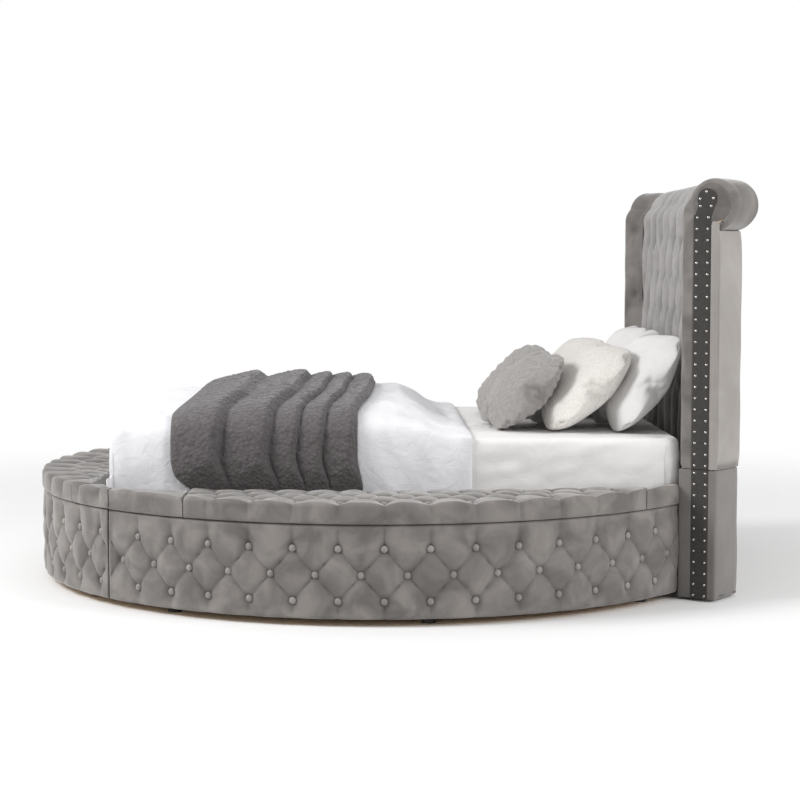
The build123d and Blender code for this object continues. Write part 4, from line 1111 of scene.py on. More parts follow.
@dataclass
class Headboard:
    """The headboard's pads, covers, scroll ends, trim, nails and buttons."""
    plan: HeadPlan = field(default_factory=HeadPlan)
    trim_low: float = 0.0555
    trim_width: float = 0.068
    nail_radius: float = 0.0056
    nail_height: float = 0.0042
    nail_pitch: float = 0.039
    nail_inset: float = 0.0125
    button_radius: float = 0.014
    button_height: float = 0.008
    button_seat: float = 0.0225
    side_round: float = 0.012
    panel_crumple: Crumple = Crumple(0.10, 3, 0.0010)
    wing_crumple: Crumple = Crumple(0.16, 21, 0.0012)
    cover_crumple: Crumple = Crumple(0.2, 31, 0.0012)
    hood_crumple: Crumple = Crumple(0.05, 33, 0.0008)
    panel_fold: float = 0.026
    wing_tuft: float = 0.016
    wing_tuft_size: tuple[float, float] = (0.018, 0.024)
    wing_tuft_share: float = 0.62
    end_round: float = 0.028
    end_turn: float = 72.0
    hood_low: float = 1.325
    hood_spread: float = 30.0
    crook_depth: float = 0.1105
    crook_height: float = 1.430
    crook_radius: float = 0.038
    bend_reach: float = 0.085
    hood_lift: float = 0.0098
    lift_reach: float = 0.06
    narrowing: float = 0.1
    hood_under: float = 272.0
    hood_flare: float = 0.011
    upper_end: tuple[tuple[float, float], ...] = (
        (0.0540, 0.0), (0.0555, 0.0012), (0.060, 0.0016), (0.120, 0.0016), (0.1245, 0.0018),
        (0.127, 0.0045), (0.131, 0.0066), (0.135, 0.0066), (0.139, 0.0045), (0.1415, 0.0020),
        (0.146, 0.0016), (0.1515, 0.0010), (0.1545, 0.0))
    lower_end: tuple[tuple[float, float], ...] = (
        (0.006, 0.0), (0.010, 0.0012), (0.020, 0.0018), (0.120, 0.0018), (0.140, 0.0018),
        (0.148, 0.0012), (0.151, 0.0))
    band_profile: tuple[tuple[float, float], ...] = (
        (0.0, 0.0), (0.0, 0.0022), (0.02, 0.0030), (0.07, 0.0036), (0.3, 0.0040), (0.5, 0.0040),
        (0.7, 0.0040), (0.93, 0.0036), (0.98, 0.0030), (1.0, 0.0022), (1.0, 0.0), (0.0, 0.0))
    crook_profile: tuple[tuple[float, float], ...] = (
        (0.01, 0.0046), (0.3, 0.0045), (0.6, 0.0043), (0.85, 0.0038), (0.95, 0.0030), (1.0, 0.0015),
        (1.0, -0.006), (0.01, -0.006))

    def build(self) -> None:
        """Build every padded piece of the headboard."""
        self.main_pad()
        self.buttons()
        for name in ("right", "left"):
            self.wing_pad(name)
        self.covers()
        self.wing_ends()
        self.trim()

    def main_pad(self) -> None:
        """The tufted panel, drawn over the scroll in pleats that grow shallower there."""
        plan = self.plan
        depth, height, back, up, row, share = plan.section()
        half = plan.corner[0] / plan.columns
        tufts = Tufting(plan.rows, pleat=0.0225, dimple=0.009, button=0.024, run_out=0.40, sharpness=0.40)
        across = stations(2 * plan.corner[0], plan.grain, self.side_round)[:, None] - plan.corner[0]
        column = across / half
        drawn = tufts.depth(column, row, half, plan.pitch)
        ends = plan.corner[0] - np.abs(across)
        drawn = (drawn * eased(ends / 0.05, 0.25) + rounding(ends, self.side_round) * 0.7) * share
        drawn = drawn * (1 - 0.18 * np.clip(-row - 1, 0, 2))
        drawn = drawn + self.panel_crumple.at(across, height) * share
        deep = depth - back * drawn
        widen = 1 + plan.slant * deep / plan.corner[0] * np.abs(column / plan.columns) ** 4
        spots = np.stack([across * widen, plan.front + deep, height - up * drawn], axis=2)
        # Painted shade in the panel's pleats, stored as the fold attribute
        piece = skin("tufted_headboard_panel", spots, painted_fold_shade(drawn, self.panel_fold))
        dress(piece, PANEL_VELVET, "bed", ("headboard_main_pad",))

    def buttons(self) -> None:
        """Covered buttons of the panel."""
        plan = self.plan
        half = plan.corner[0] / plan.columns
        places = [(Vector((column * half, plan.front + self.button_seat, plan.first_row - row * plan.pitch)),
                   Vector((0, -1, 0)))
                  for row in range(plan.rows) for column in range(-plan.columns + 1, plan.columns)
                  if (column + row) % 2 == 0]
        piece = repeated("covered_headboard_buttons", dome(self.button_radius, self.button_height), places)
        dress(piece, PANEL_VELVET, "bed", ("headboard_buttons",))

    def mirrored(self, spots: np.ndarray, name: str) -> np.ndarray:
        """Places on the named wing, from those on the right one."""
        return spots * np.array([-1, 1, 1]) if name == "left" else spots

    def wing_pad(self, name: str) -> None:
        """The plain pad on a wing's inner face, rounded at its edge and pulled in by tufts."""
        plan = self.plan
        depth, height, back, up, _, share = plan.section()
        near, drop = plan.rounded_end(self.end_round, self.end_turn, 9, 12)
        soft = self.wing_crumple.at(near * 2, height) * share
        drawn = drop * (share > 0) + soft + 0.003 * share * smooth(near / plan.wing)
        wide, tall = self.wing_tuft_size
        beside = near - self.wing_tuft_share * plan.wing
        for row in range(0, plan.rows, 2):
            above = height - (plan.first_row - row * plan.pitch)
            pull = np.exp(-(beside ** 2 / wide ** 2 + above ** 2 / tall ** 2)) * (back < -0.7)
            drawn = drawn + self.wing_tuft * pull
        deep = depth - back * drawn
        spots = plan.wing_spots(plan.mitred(near, deep), deep, height - up * drawn)
        piece = skin(f"{name}_wing_cushion", self.mirrored(spots, name))
        dress(piece, GREY_VELVET, "bed", (f"{name}_wing_pad",))

    def band(self, name: str, low: float, high: float, bottom: float, top: float, edge: float,
             bulge: float, seam: float) -> bpy.types.Object:
        """A cloth-covered band round the headboard, rounded along every edge.

        Args:
            name: The band's name.
            low: Depth of its front.
            high: Depth of its back.
            bottom: Height of its lower edge.
            top: Height of its upper edge.
            edge: Radius of its edges.
            bulge: How far its back swells.
            seam: How much of the edges' height is left where the two sections meet.

        Returns:
            The band.
        """
        plan = self.plan
        arc = np.radians(np.linspace(0, 90, 5))
        rise = np.linspace(bottom + edge, top - edge, 24)

        def corner(side: int, lift: int, turns: np.ndarray) -> list[tuple[float, ...]]:
            """One rounded edge: side is 1 at the back, and lift is 1 at the top."""
            return [((high if side > 0 else low) - side * edge * (1 - math.cos(turn)),
                     (top if lift > 0 else bottom) - lift * edge * (1 - math.sin(turn)),
                     side * math.cos(turn), lift * math.sin(turn)) for turn in turns]

        points = [(high, height, 1, 0) for height in rise] + corner(1, 1, arc) + corner(-1, 1, arc[::-1])
        points += [(low, height, -1, 0) for height in rise[::-6]]
        points += corner(-1, -1, arc) + corner(1, -1, arc[::-1]) + points[:1]
        depth, height, back, up = (line[None, :] for line in np.array(points).T)
        if bottom < plan.split:
            height = np.where(height > top - edge, top - (top - height) * seam / edge, height)
        else:
            height = np.where(height < bottom + edge, bottom + (height - bottom) * seam / edge, height)
        near, drop = plan.rounded_end(edge, 90, 6, 10)
        full = (back > 0.9) * smooth(np.minimum(height - bottom, top - height) / 0.05)
        deep = depth - back * drop + bulge * full
        high_at = height - up * drop
        wing = plan.wing_spots(plan.mitred(near, deep), deep, high_at)
        x = np.linspace(1, -1, 48)[1:-1, None] * (plan.corner[0] + plan.slant * deep[-1:])
        middle = np.stack([x, plan.front + deep[-1:] + 0 * x, high_at[-1:] + 0 * x], axis=2)
        spots = np.concatenate([wing, middle, self.mirrored(wing, "left")[::-1]], axis=0)
        soft = self.cover_crumple.at(spots[..., 0] + spots[..., 1], spots[..., 2])
        return skin(name, spots + normals_of(spots) * soft[:, :, None])

    def covers(self) -> None:
        """The plain lower section, and the back of the upper one, which stands a little proud."""
        plan = self.plan
        lower = self.band("headboard_lower_section", low=0.004, high=0.152, bottom=plan.floor_gap,
                          top=plan.split + 0.0008, edge=0.008, bulge=0.002, seam=0.003)
        dress(lower, BASE_VELVET, "bed", ("headboard_base",))
        upper = self.band("headboard_back", low=0.147, high=0.155, bottom=plan.upper, top=1.321,
                          edge=0.0039, bulge=0.0045, seam=0.0012)
        dress(upper, COVER_VELVET, "bed", ("headboard_back_cover",))

    def wing_ends(self) -> None:
        """Velvet over the ends of the wings and of the scroll."""
        plan = self.plan
        kinds = ((self.upper_end, plan.upper + 0.0005, 1.353, COVER_VELVET),
                 (self.lower_end, plan.floor_gap + 0.002, plan.split - 0.001, BASE_VELVET))
        for name in ("right", "left"):
            for profile, low, high, finish in kinds:
                depth, proud = (line[None, :] for line in np.array(profile).T)
                height = np.linspace(low, high, 60)[:, None]
                away = 0.001 - (0.001 + proud) * (1 - 0.6 * (height == high)) + 0 * height
                face = plan.wing_spots(away, depth + 0 * away, height + 0 * away)
                inside = 0 * height + 0.001
                start = plan.wing_spots(inside, 0 * height + depth[0, 0], height)
                back = plan.wing_spots(inside, 0 * height + depth[0, -1], height)
                net = np.concatenate([start, face, back, start], axis=1)
                dress(skin(f"{name}_wing_end", self.mirrored(net, name), angle=70), finish, "bed")
            self.hood(name)

    def hood(self, name: str) -> None:
        """The rounded velvet end of the scroll, cut straight underneath."""
        plan = self.plan
        turn = math.radians(self.end_turn)
        radius = plan.roll - self.end_round * (1 - math.cos(turn))
        start = self.end_round * (1 - math.sin(turn))
        bulge = radius * math.tan(math.radians(90 - self.end_turn)) / 2
        turns = np.linspace(0, 2 * math.pi, 97)[:, None]
        under = np.exp(-((np.degrees(turns) - self.hood_under) / self.hood_spread) ** 2)
        reach = radius + (plan.core_height - self.hood_low - radius) * under
        shares = np.array([0.001, 0.15, 0.3, 0.45, 0.6, 0.72, 0.82, 0.9, 0.96, 1.0, 1.0, 0.001])[None, :]
        proud = bulge * (1 - shares ** 2)
        proud[:, -2:] = -0.006
        depth = plan.core_depth + shares * (reach * np.cos(turns))
        height = plan.core_height + shares * (reach * np.sin(turns))
        away = start - proud + self.hood_crumple.at(depth, height) * (proud > 0)
        away = away + self.hood_flare * under * shares ** 4 * (proud >= 0)
        spots = plan.wing_spots(away, depth, height)
        piece = skin(f"{name}_scroll_hood", self.mirrored(spots, name), angle=80)
        dress(piece, HOOD_VELVET, "bed")

    def trim(self) -> None:
        """The dark bands on the wings' ends, and the nails along them."""
        plan = self.plan
        bands, places = [], []
        for name in ("right", "left"):
            bands.append(self.strip(name, plan.floor_gap + 0.0035, plan.split - 0.0005))
            bands.append(self.strip(name, plan.upper + 0.0002, self.crook_height))
            bands.append(self.crook(name))
            places += self.nail_places(name)
        dress(joined("chenille_trim", bands), DARK_TRIM, "bed", ("wing_trim_bands",))
        nails = repeated("round_nails", dome(self.nail_radius, self.nail_height, 10, 6), places)
        dress(nails, NICKEL, "bed", ("trim_nails",))

    def bend(self, height: np.ndarray) -> np.ndarray:
        """How far back the band bends at a height, near its crook."""
        whole = self.crook_depth - self.trim_low - self.trim_width / 2
        return whole * smooth((height - self.plan.first_row - 0.005) / self.bend_reach)

    def lift(self, height: np.ndarray) -> np.ndarray:
        """How much further out the band lies at a height, over the scroll's hood."""
        return self.hood_lift * smooth((height - self.plan.first_row) / self.lift_reach)

    def strip(self, name: str, low: float, high: float) -> bpy.types.Object:
        """One straight run of the band, with soft edges."""
        plan = self.plan
        share, proud = (line[None, :] for line in np.array(self.band_profile).T)
        depth = self.trim_low + self.trim_width * share
        height = np.linspace(low, high, 90)[:, None]
        middle = self.trim_low + self.trim_width / 2
        narrow = 1 - self.narrowing * smooth((height - plan.first_row) / self.bend_reach)
        across = middle + (depth - middle) * narrow + self.bend(height)
        away = -proud - self.lift(height)
        spots = plan.wing_spots(away, across, height + 0 * away)
        return skin(f"{name}_trim_strip", self.mirrored(spots, name), angle=80)

    def crook(self, name: str) -> bpy.types.Object:
        """The rounded top end of the band, under the scroll."""
        plan = self.plan
        share, proud = (line[None, :] for line in np.array(self.crook_profile).T)
        radius = self.crook_radius * share
        proud = self.lift(np.array(plan.height)) + proud
        turns = np.linspace(0, 2 * math.pi, 49)[:, None]
        depth = self.crook_depth + radius * np.cos(turns)
        height = self.crook_height + radius * np.sin(turns)
        spots = plan.wing_spots(-proud + 0 * depth, depth, height)
        return skin(f"{name}_trim_crook", self.mirrored(spots, name), angle=80)

    def nail_places(self, name: str) -> list[tuple[Vector, Vector]]:
        """Spots of one wing's nails: two rows up each band and round the crook."""
        plan, inset = self.plan, self.nail_inset
        spots = []
        low_edge, high_edge = self.trim_low + inset, self.trim_low + self.trim_width - inset
        for low, high in ((plan.floor_gap, plan.split), (plan.upper, self.crook_height - 0.012)):
            count = int((high - low - 2 * inset) / self.nail_pitch)
            for height in np.linspace(low + inset, high - inset, count + 1):
                lift = 0.0036 + float(self.lift(height))
                back = float(self.bend(height))
                spots += [(low_edge + back, height, lift), (high_edge + back * 0.9, height, lift)]
        arc = self.crook_radius - inset
        for degrees in (5.0, 92.0, 178.0):
            turn = math.radians(degrees)
            spots.append((self.crook_depth + arc * math.cos(turn), self.crook_height + arc * math.sin(turn),
                          0.0040 + float(self.lift(self.crook_height))))
        out = Vector(self.mirrored(np.array([plan.along[0], plan.along[1], 0.0]), name))
        return [(Vector(self.mirrored(plan.wing_spots(-lift, depth, height), name)), out)
                for depth, height, lift in spots]


# Bedding

@dataclass
class Mattress:
    """The mattress in its fitted sheet."""
    width: float = 1.524
    length: float = 2.032
    foot: float = -0.959
    base: float = 0.2893
    height: float = 0.290
    corner: float = 0.060
    edge: float = 0.030
    grain: float = 0.012
    bow: float = 0.003
    tight: float = 0.0012
    sink: float = 0.002
    side_crumple: Crumple = Crumple(0.14, 41, 0.0014)
    top_crumple: Crumple = Crumple(0.22, 42, 0.0016)

    def outline(self) -> tuple[np.ndarray, np.ndarray, np.ndarray]:
        """Distances round the mattress, and the places and ways out there."""
        spots, ways = [], []
        for turn, sign in ((0, (1, 1)), (90, (-1, 1)), (180, (-1, -1)), (270, (1, -1))):
            centre = np.array(sign) * np.array([self.width / 2 - self.corner, self.length / 2 - self.corner])
            for degrees in np.linspace(turn, turn + 90, 9):
                way = np.array([math.cos(math.radians(degrees)), math.sin(math.radians(degrees))])
                spots.append(centre + way * self.corner)
                ways.append(way)
        spots, ways = np.array(spots + spots[:1]), np.array(ways + ways[:1])
        path = path_of(spots)
        steps = np.linspace(0, path[-1], int(path[-1] / self.grain))
        way = along_path(steps, path, ways)
        return steps, along_path(steps, path, spots), way / np.linalg.norm(way, axis=1, keepdims=True)

    def build(self) -> None:
        """Shape the sheet round the mattress."""
        steps, ring, way = self.outline()
        tall, edge = self.height, self.edge
        low = [(edge * (1 - math.sin(turn)), edge * (1 - math.cos(turn)))
               for turn in np.radians(np.linspace(0, 90, 7))]
        shares = np.linspace(0, 0.999, 24)[1:]
        profile = [(edge, 0.0, share) for share in shares[::-6]] + [(*point, 0.0) for point in low]
        profile += [(0.0, height, 0.0) for height in np.linspace(edge, tall - edge, 20)[1:-1]]
        profile += [(inset, tall - drop, 0.0) for inset, drop in low[::-1]]
        profile += [(edge, tall, share) for share in shares]
        inset, rise, shrink = (line[None, :] for line in np.array(profile).T)
        on_top = rise == tall
        bow = self.bow * np.sin(np.clip(rise / tall, 0, 1) * math.pi)
        soft = self.side_crumple.at(steps[:, None], rise * 2.0)
        tight = np.exp(-((rise - tall * 0.93) / 0.02) ** 2) * self.tight
        back = inset - bow - soft + tight
        spot = (ring[:, None, :] - way[:, None, :] * back[:, :, None]) * (1 - shrink)[:, :, None]
        rumple = self.top_crumple.at(spot[..., 0], spot[..., 1])
        z = self.base + rise + rumple * on_top - self.sink * on_top
        middle = np.array([0, self.foot + self.length / 2])
        piece = skin("sheeted_mattress", np.concatenate([spot + middle, z[:, :, None]], axis=2))
        dress(piece, SHEET, "bed", ("mattress",))


@dataclass
class Drape:
    """The outline that the duvet takes over the bed, and what lies on it."""
    half: float = 0.7828
    hem: float = 0.384
    top: float = 0.5793
    foot: float = -0.9598
    head: float = 0.320
    lift: float = 0.084
    crown: float = 0.074
    lie: float = 0.006
    shoulder: float = 0.040
    reach: float = 1.02
    slope: float = 0.235
    slope_end: float = 0.300
    thin: float = 0.016

    def full(self, y: np.ndarray) -> np.ndarray:
        """How full the duvet is along the bed."""
        share = np.clip((y - self.foot) / (self.head - self.foot), 0, 1)
        return np.maximum(0.2, np.sqrt(np.sin(math.pi * share)))

    def softened(self, run: np.ndarray, knots: np.ndarray, line: np.ndarray) -> np.ndarray:
        """Values along a line of knots, with its corners rounded off."""
        fine = np.linspace(0, 2 * self.reach, 401)
        window = np.exp(-np.linspace(-2, 2, 33) ** 2)
        window /= window.sum()
        dense = np.interp(fine, knots, line)
        before, after = 2 * dense[0] - dense[16:0:-1], 2 * dense[-1] - dense[-2:-18:-1]
        padded = np.concatenate([before, dense, after])
        return np.interp(run, fine, np.convolve(padded, window, mode="valid"))

    def spots(self, y: np.ndarray, run: np.ndarray, hem: float | None = None) -> np.ndarray:
        """Places over the duvet.

        Args:
            y: Places along the bed.
            run: Distances across, from the right hem at 0 to the left one.
            hem: Height of the hem, where it differs.

        Returns:
            Places, by y and by distance.
        """
        full = self.full(y)
        slope = smooth((self.slope_end - y) / self.slope)
        rise = self.thin + (self.lift * (1 + full) / 2 - self.thin) * slope
        top = self.top + rise + self.crown * full * slope
        low = np.full_like(y, self.hem if hem is None else hem)
        one = np.ones_like(y)
        shoulder = self.top + self.thin + (self.shoulder - self.thin) * slope
        x = np.stack([self.half * one, self.half + self.lie * full, (self.half - 0.012) * one,
                      (self.half - 0.075) * one, self.half * 0.6 * one, 0 * one], axis=1)
        z = np.stack([low, (low + shoulder) / 2, shoulder * one, self.top + rise,
                      (2 * top + self.top + rise) / 3, top], axis=1)
        knots = np.array([0.0, 0.118, 0.236, 0.322, 0.555, self.reach])
        knots = np.concatenate([knots, 2 * self.reach - knots[-2::-1]])
        x = np.concatenate([x, -x[:, -2::-1]], axis=1)
        z = np.concatenate([z, z[:, -2::-1]], axis=1)
        return np.stack([np.stack([self.softened(run, knots, x[index]), np.full_like(run, y[index]),
                                   self.softened(run, knots, z[index])], axis=1)
                         for index in range(len(y))])


def up_and_out(net: np.ndarray) -> np.ndarray:
    """Unit normals of a cloth over the bed, turned away from the bed's middle."""
    ways = normals_of(net)
    from_middle = np.stack([net[..., 0], 0 * net[..., 0], net[..., 2] - 0.4], axis=2)
    sign = np.sign((ways * from_middle).sum(axis=2, keepdims=True))
    return ways * np.where(sign == 0, 1, sign)


@dataclass
class Duvet:
    """The white duvet, full in the middle and hanging over three sides."""
    drape: Drape = field(default_factory=Drape)
    grain: float = 0.0095
    thickness: float = 0.012
    head_round: float = 0.060
    foot_round: float = 0.034
    foot_drop: float = 0.05
    tucked_half: float = 0.7665
    tucked_top: float = 0.5845
    throw_foot: float = -0.790
    throw_head: float = 0.010
    throw_calm: float = 0.85
    side_top: float = 0.62
    side_reach: float = 0.2
    head_rows: float = 12.0
    puff: Crumple = Crumple(0.24, 51, 0.006)
    small_puff: Crumple = Crumple(0.10, 52, 0.0030)
    crease: Crumple = Crumple(0.17, 53)
    crease_height: float = 0.0034
    sway: Crumple = Crumple(0.4, 54, 1.3)
    hang: float = 0.006
    hang_pace: float = 31.0

    def net(self) -> np.ndarray:
        """The smooth duvet: rolled under at its head, flat over the bed, and hanging at its foot."""
        drape = self.drape
        run = np.linspace(0, 2 * drape.reach, int(2 * drape.reach / self.grain))
        y = np.linspace(drape.head - self.head_round, drape.foot + 0.02, int(1.20 / self.grain))
        net = drape.spots(y, run)
        edge, last = net[:1], net[-1:]
        under = edge.copy()
        under[..., 0] = np.clip(under[..., 0], -self.tucked_half, self.tucked_half)
        under[..., 2] = np.where(np.abs(edge[..., 0]) > self.tucked_half, edge[..., 2],
                                 np.minimum(edge[..., 2], self.tucked_top))
        head = []
        for turn in np.radians([90, 82, 74, 66, 58, 50, 42, 34, 26, 17, 9]):
            share = 1 - math.cos(turn)
            row = edge * (1 - share) + under * share
            row[..., 1] = drape.head - self.head_round * (1 - math.sin(turn))
            head.append(row)
        foot = []
        for turn in np.radians([15, 30, 45, 60, 75, 90]):
            row = last.copy()
            row[..., 1] -= self.foot_round * math.sin(turn)
            over_hem = np.clip(row[..., 2] - drape.hem, 0, None)
            row[..., 2] -= over_hem / 0.25 * self.foot_drop * (1 - math.cos(turn))
            foot.append(row)
        last = foot[-1]
        for share in np.linspace(1, 0, 26)[1:]:
            row = last.copy()
            row[..., 2] = drape.hem + (last[..., 2] - drape.hem) * share
            foot.append(row)
        return np.concatenate([*head, net, *foot], axis=0)

    def build(self) -> None:
        """Lay, crumple and dress the duvet, which lies calm under the throw."""
        net = self.net()
        x, along, z = net[..., 0], net[..., 1], net[..., 2]
        side = smooth((self.side_top - z) / self.side_reach)
        puff = self.puff.at(x, along + z) + self.small_puff.at(x, along)
        crease = (1 - np.abs(self.crease.at(x * 0.8, along + 0.6 * z))) * self.crease_height
        hang = np.sin(along * self.hang_pace + self.sway.at(along, x)) * self.hang * side
        near_head = smooth(np.arange(net.shape[0])[:, None] / self.head_rows)
        covered = smooth((along - self.throw_foot) / 0.03) * smooth((self.throw_head - along) / 0.03)
        calm = near_head * (1 - self.throw_calm * covered)
        amount = (puff + crease - 0.002) * calm * (1 - 0.4 * side) + hang * calm
        net = net + up_and_out(net) * amount[:, :, None]
        net[..., 2] = np.maximum(net[..., 2], self.drape.hem - 0.004)
        piece = skin("draped_duvet", net, closed=False)
        shaped(piece, "SOLIDIFY", thickness=self.thickness, offset=-1.0)
        dress(piece, DUVET_COTTON, "bed", ("duvet",))


@dataclass
class Throw:
    """The dark throw across the foot of the bed, in deep soft folds."""
    drape: Drape = field(default_factory=Drape)
    foot: float = -0.754
    head: float = -0.093
    hem: float = 0.376
    creases: tuple[float, ...] = (0.0, 0.29, 0.55, 0.69, 0.83, 1.0)
    grain: float = 0.0076
    thickness: float = 0.005
    side_top: float = 0.750
    side_reach: float = 0.095
    top_shift: tuple[float, float] = (0.070, 0.055)
    tuck_top: float = 0.52
    tuck_reach: float = 0.135
    tuck_shift: tuple[float, float] = (0.022, 0.02)
    corner_share: float = 0.16
    corner_height: float = 0.11
    corner_shift: float = 0.070
    clear: float = 0.009
    least_clear: float = 0.005
    fold: float = 0.036
    side_fold: float = 0.006
    roll_start: float = 0.76
    stitch: float = 0.045
    stitch_height: float = 0.003
    edge_share: float = 0.03
    crease_shade: float = 0.9
    side_shade: float = 0.22
    side_shade_top: float = 0.62
    wander: Crumple = Crumple(0.5, 61, 0.012)
    crinkle: Crumple = Crumple(0.030, 62, 0.0026)
    lid_room: float = 0.793
    lid_lean: float = 0.36
    lid_height: float = 0.385

    def net(self, share: np.ndarray, run: np.ndarray) -> tuple[np.ndarray, np.ndarray]:
        """The smooth throw, nearer to the head on top than over its sides, and where those are.

        Args:
            share: Shares of the way from the throw's foot to its head, by row and column.
            run: Distances across, one for each column.

        Returns:
            Places, and how far each column is over a side, from 0 to 1.
        """
        level = np.linspace(self.foot - 0.05, self.head + 0.15, 200)
        table = self.drape.spots(level, run, self.hem)
        drop = table[100:101, :, 2]
        side = smooth((self.side_top - drop) / self.side_reach)
        tuck = smooth((self.tuck_top - drop) / self.tuck_reach)
        low = smooth((self.hem + self.corner_height - drop) / self.corner_height)
        low_corner = smooth(1 - share / self.corner_share) * low
        middle = np.sin(math.pi * share)
        on_top, tucked = (ends + swell * middle for ends, swell in (self.top_shift, self.tuck_shift))
        along = self.foot + (self.head - self.foot) * share
        along = along + (1 - side) * on_top + tuck * tucked
        along = along + self.corner_shift * low_corner ** 2
        columns = [[np.interp(along[:, column], level, table[:, column, axis]) for column in range(len(run))]
                   for axis in (0, 2)]
        return np.stack([np.array(columns[0]).T, along, np.array(columns[1]).T], axis=2), side

    def build(self) -> None:
        """Lay, fold, quilt and dress the throw."""
        reach = 2 * self.drape.reach
        run = np.linspace(0, reach, int(reach / self.grain))[None, :]
        rows = int((self.head - self.foot) / self.grain)
        share = np.linspace(0, 1, rows)[:, None] + 0 * run
        net, side = self.net(share, run[0])
        x, along, z = net[..., 0], net[..., 1], net[..., 2]
        wander = self.wander.at(x, z) * smooth(share * (1 - share) / 0.1)
        bend = np.clip(share + wander, 0, 1)
        edges = np.array(self.creases)
        index = np.clip(np.searchsorted(edges, bend, side="right") - 1, 0, len(edges) - 2)
        width = np.diff(edges)[index]
        place = (bend - edges[index]) / width
        roll = smooth((place - self.roll_start) / (1 - self.roll_start))
        fold = place ** 0.75 * (1 - roll) * np.sqrt(width / width.max())
        # Painted shade along the crease lines between the folds
        dark = np.exp(-((place - 0.97) / 0.06) ** 2) + np.exp(-(place / 0.05) ** 2) * (index > 0)
        quilt = np.abs(np.sin(math.pi * (run / self.stitch + share * 2))) ** 0.6
        edge = smooth(np.minimum(share, 1 - share) / self.edge_share)
        rough = quilt * self.stitch_height + self.crinkle.at(x + z, along)
        amount = self.clear + fold * (self.fold + self.side_fold * side)
        amount = amount + edge * rough * (1 - 0.5 * side)
        room = self.lid_room + self.lid_lean * np.clip(z - self.lid_height, 0, 1) - np.abs(x) - self.thickness
        amount = np.minimum(amount, np.maximum(room, self.least_clear))
        net = net + up_and_out(net) * amount[:, :, None]
        # Painted shade: the creases, and the sides that hang away from the light, stored as the fold
        # attribute
        hanging = smooth((self.side_shade_top - net[..., 2]) / 0.02)
        shade = np.clip(dark * self.crease_shade + self.side_shade * hanging, 0, 1)
        piece = skin("folded_throw", net, shade, closed=False)
        shaped(piece, "SOLIDIFY", thickness=self.thickness, offset=1.0)
        dress(piece, THROW_CLOTH, "bed", ("throw",))


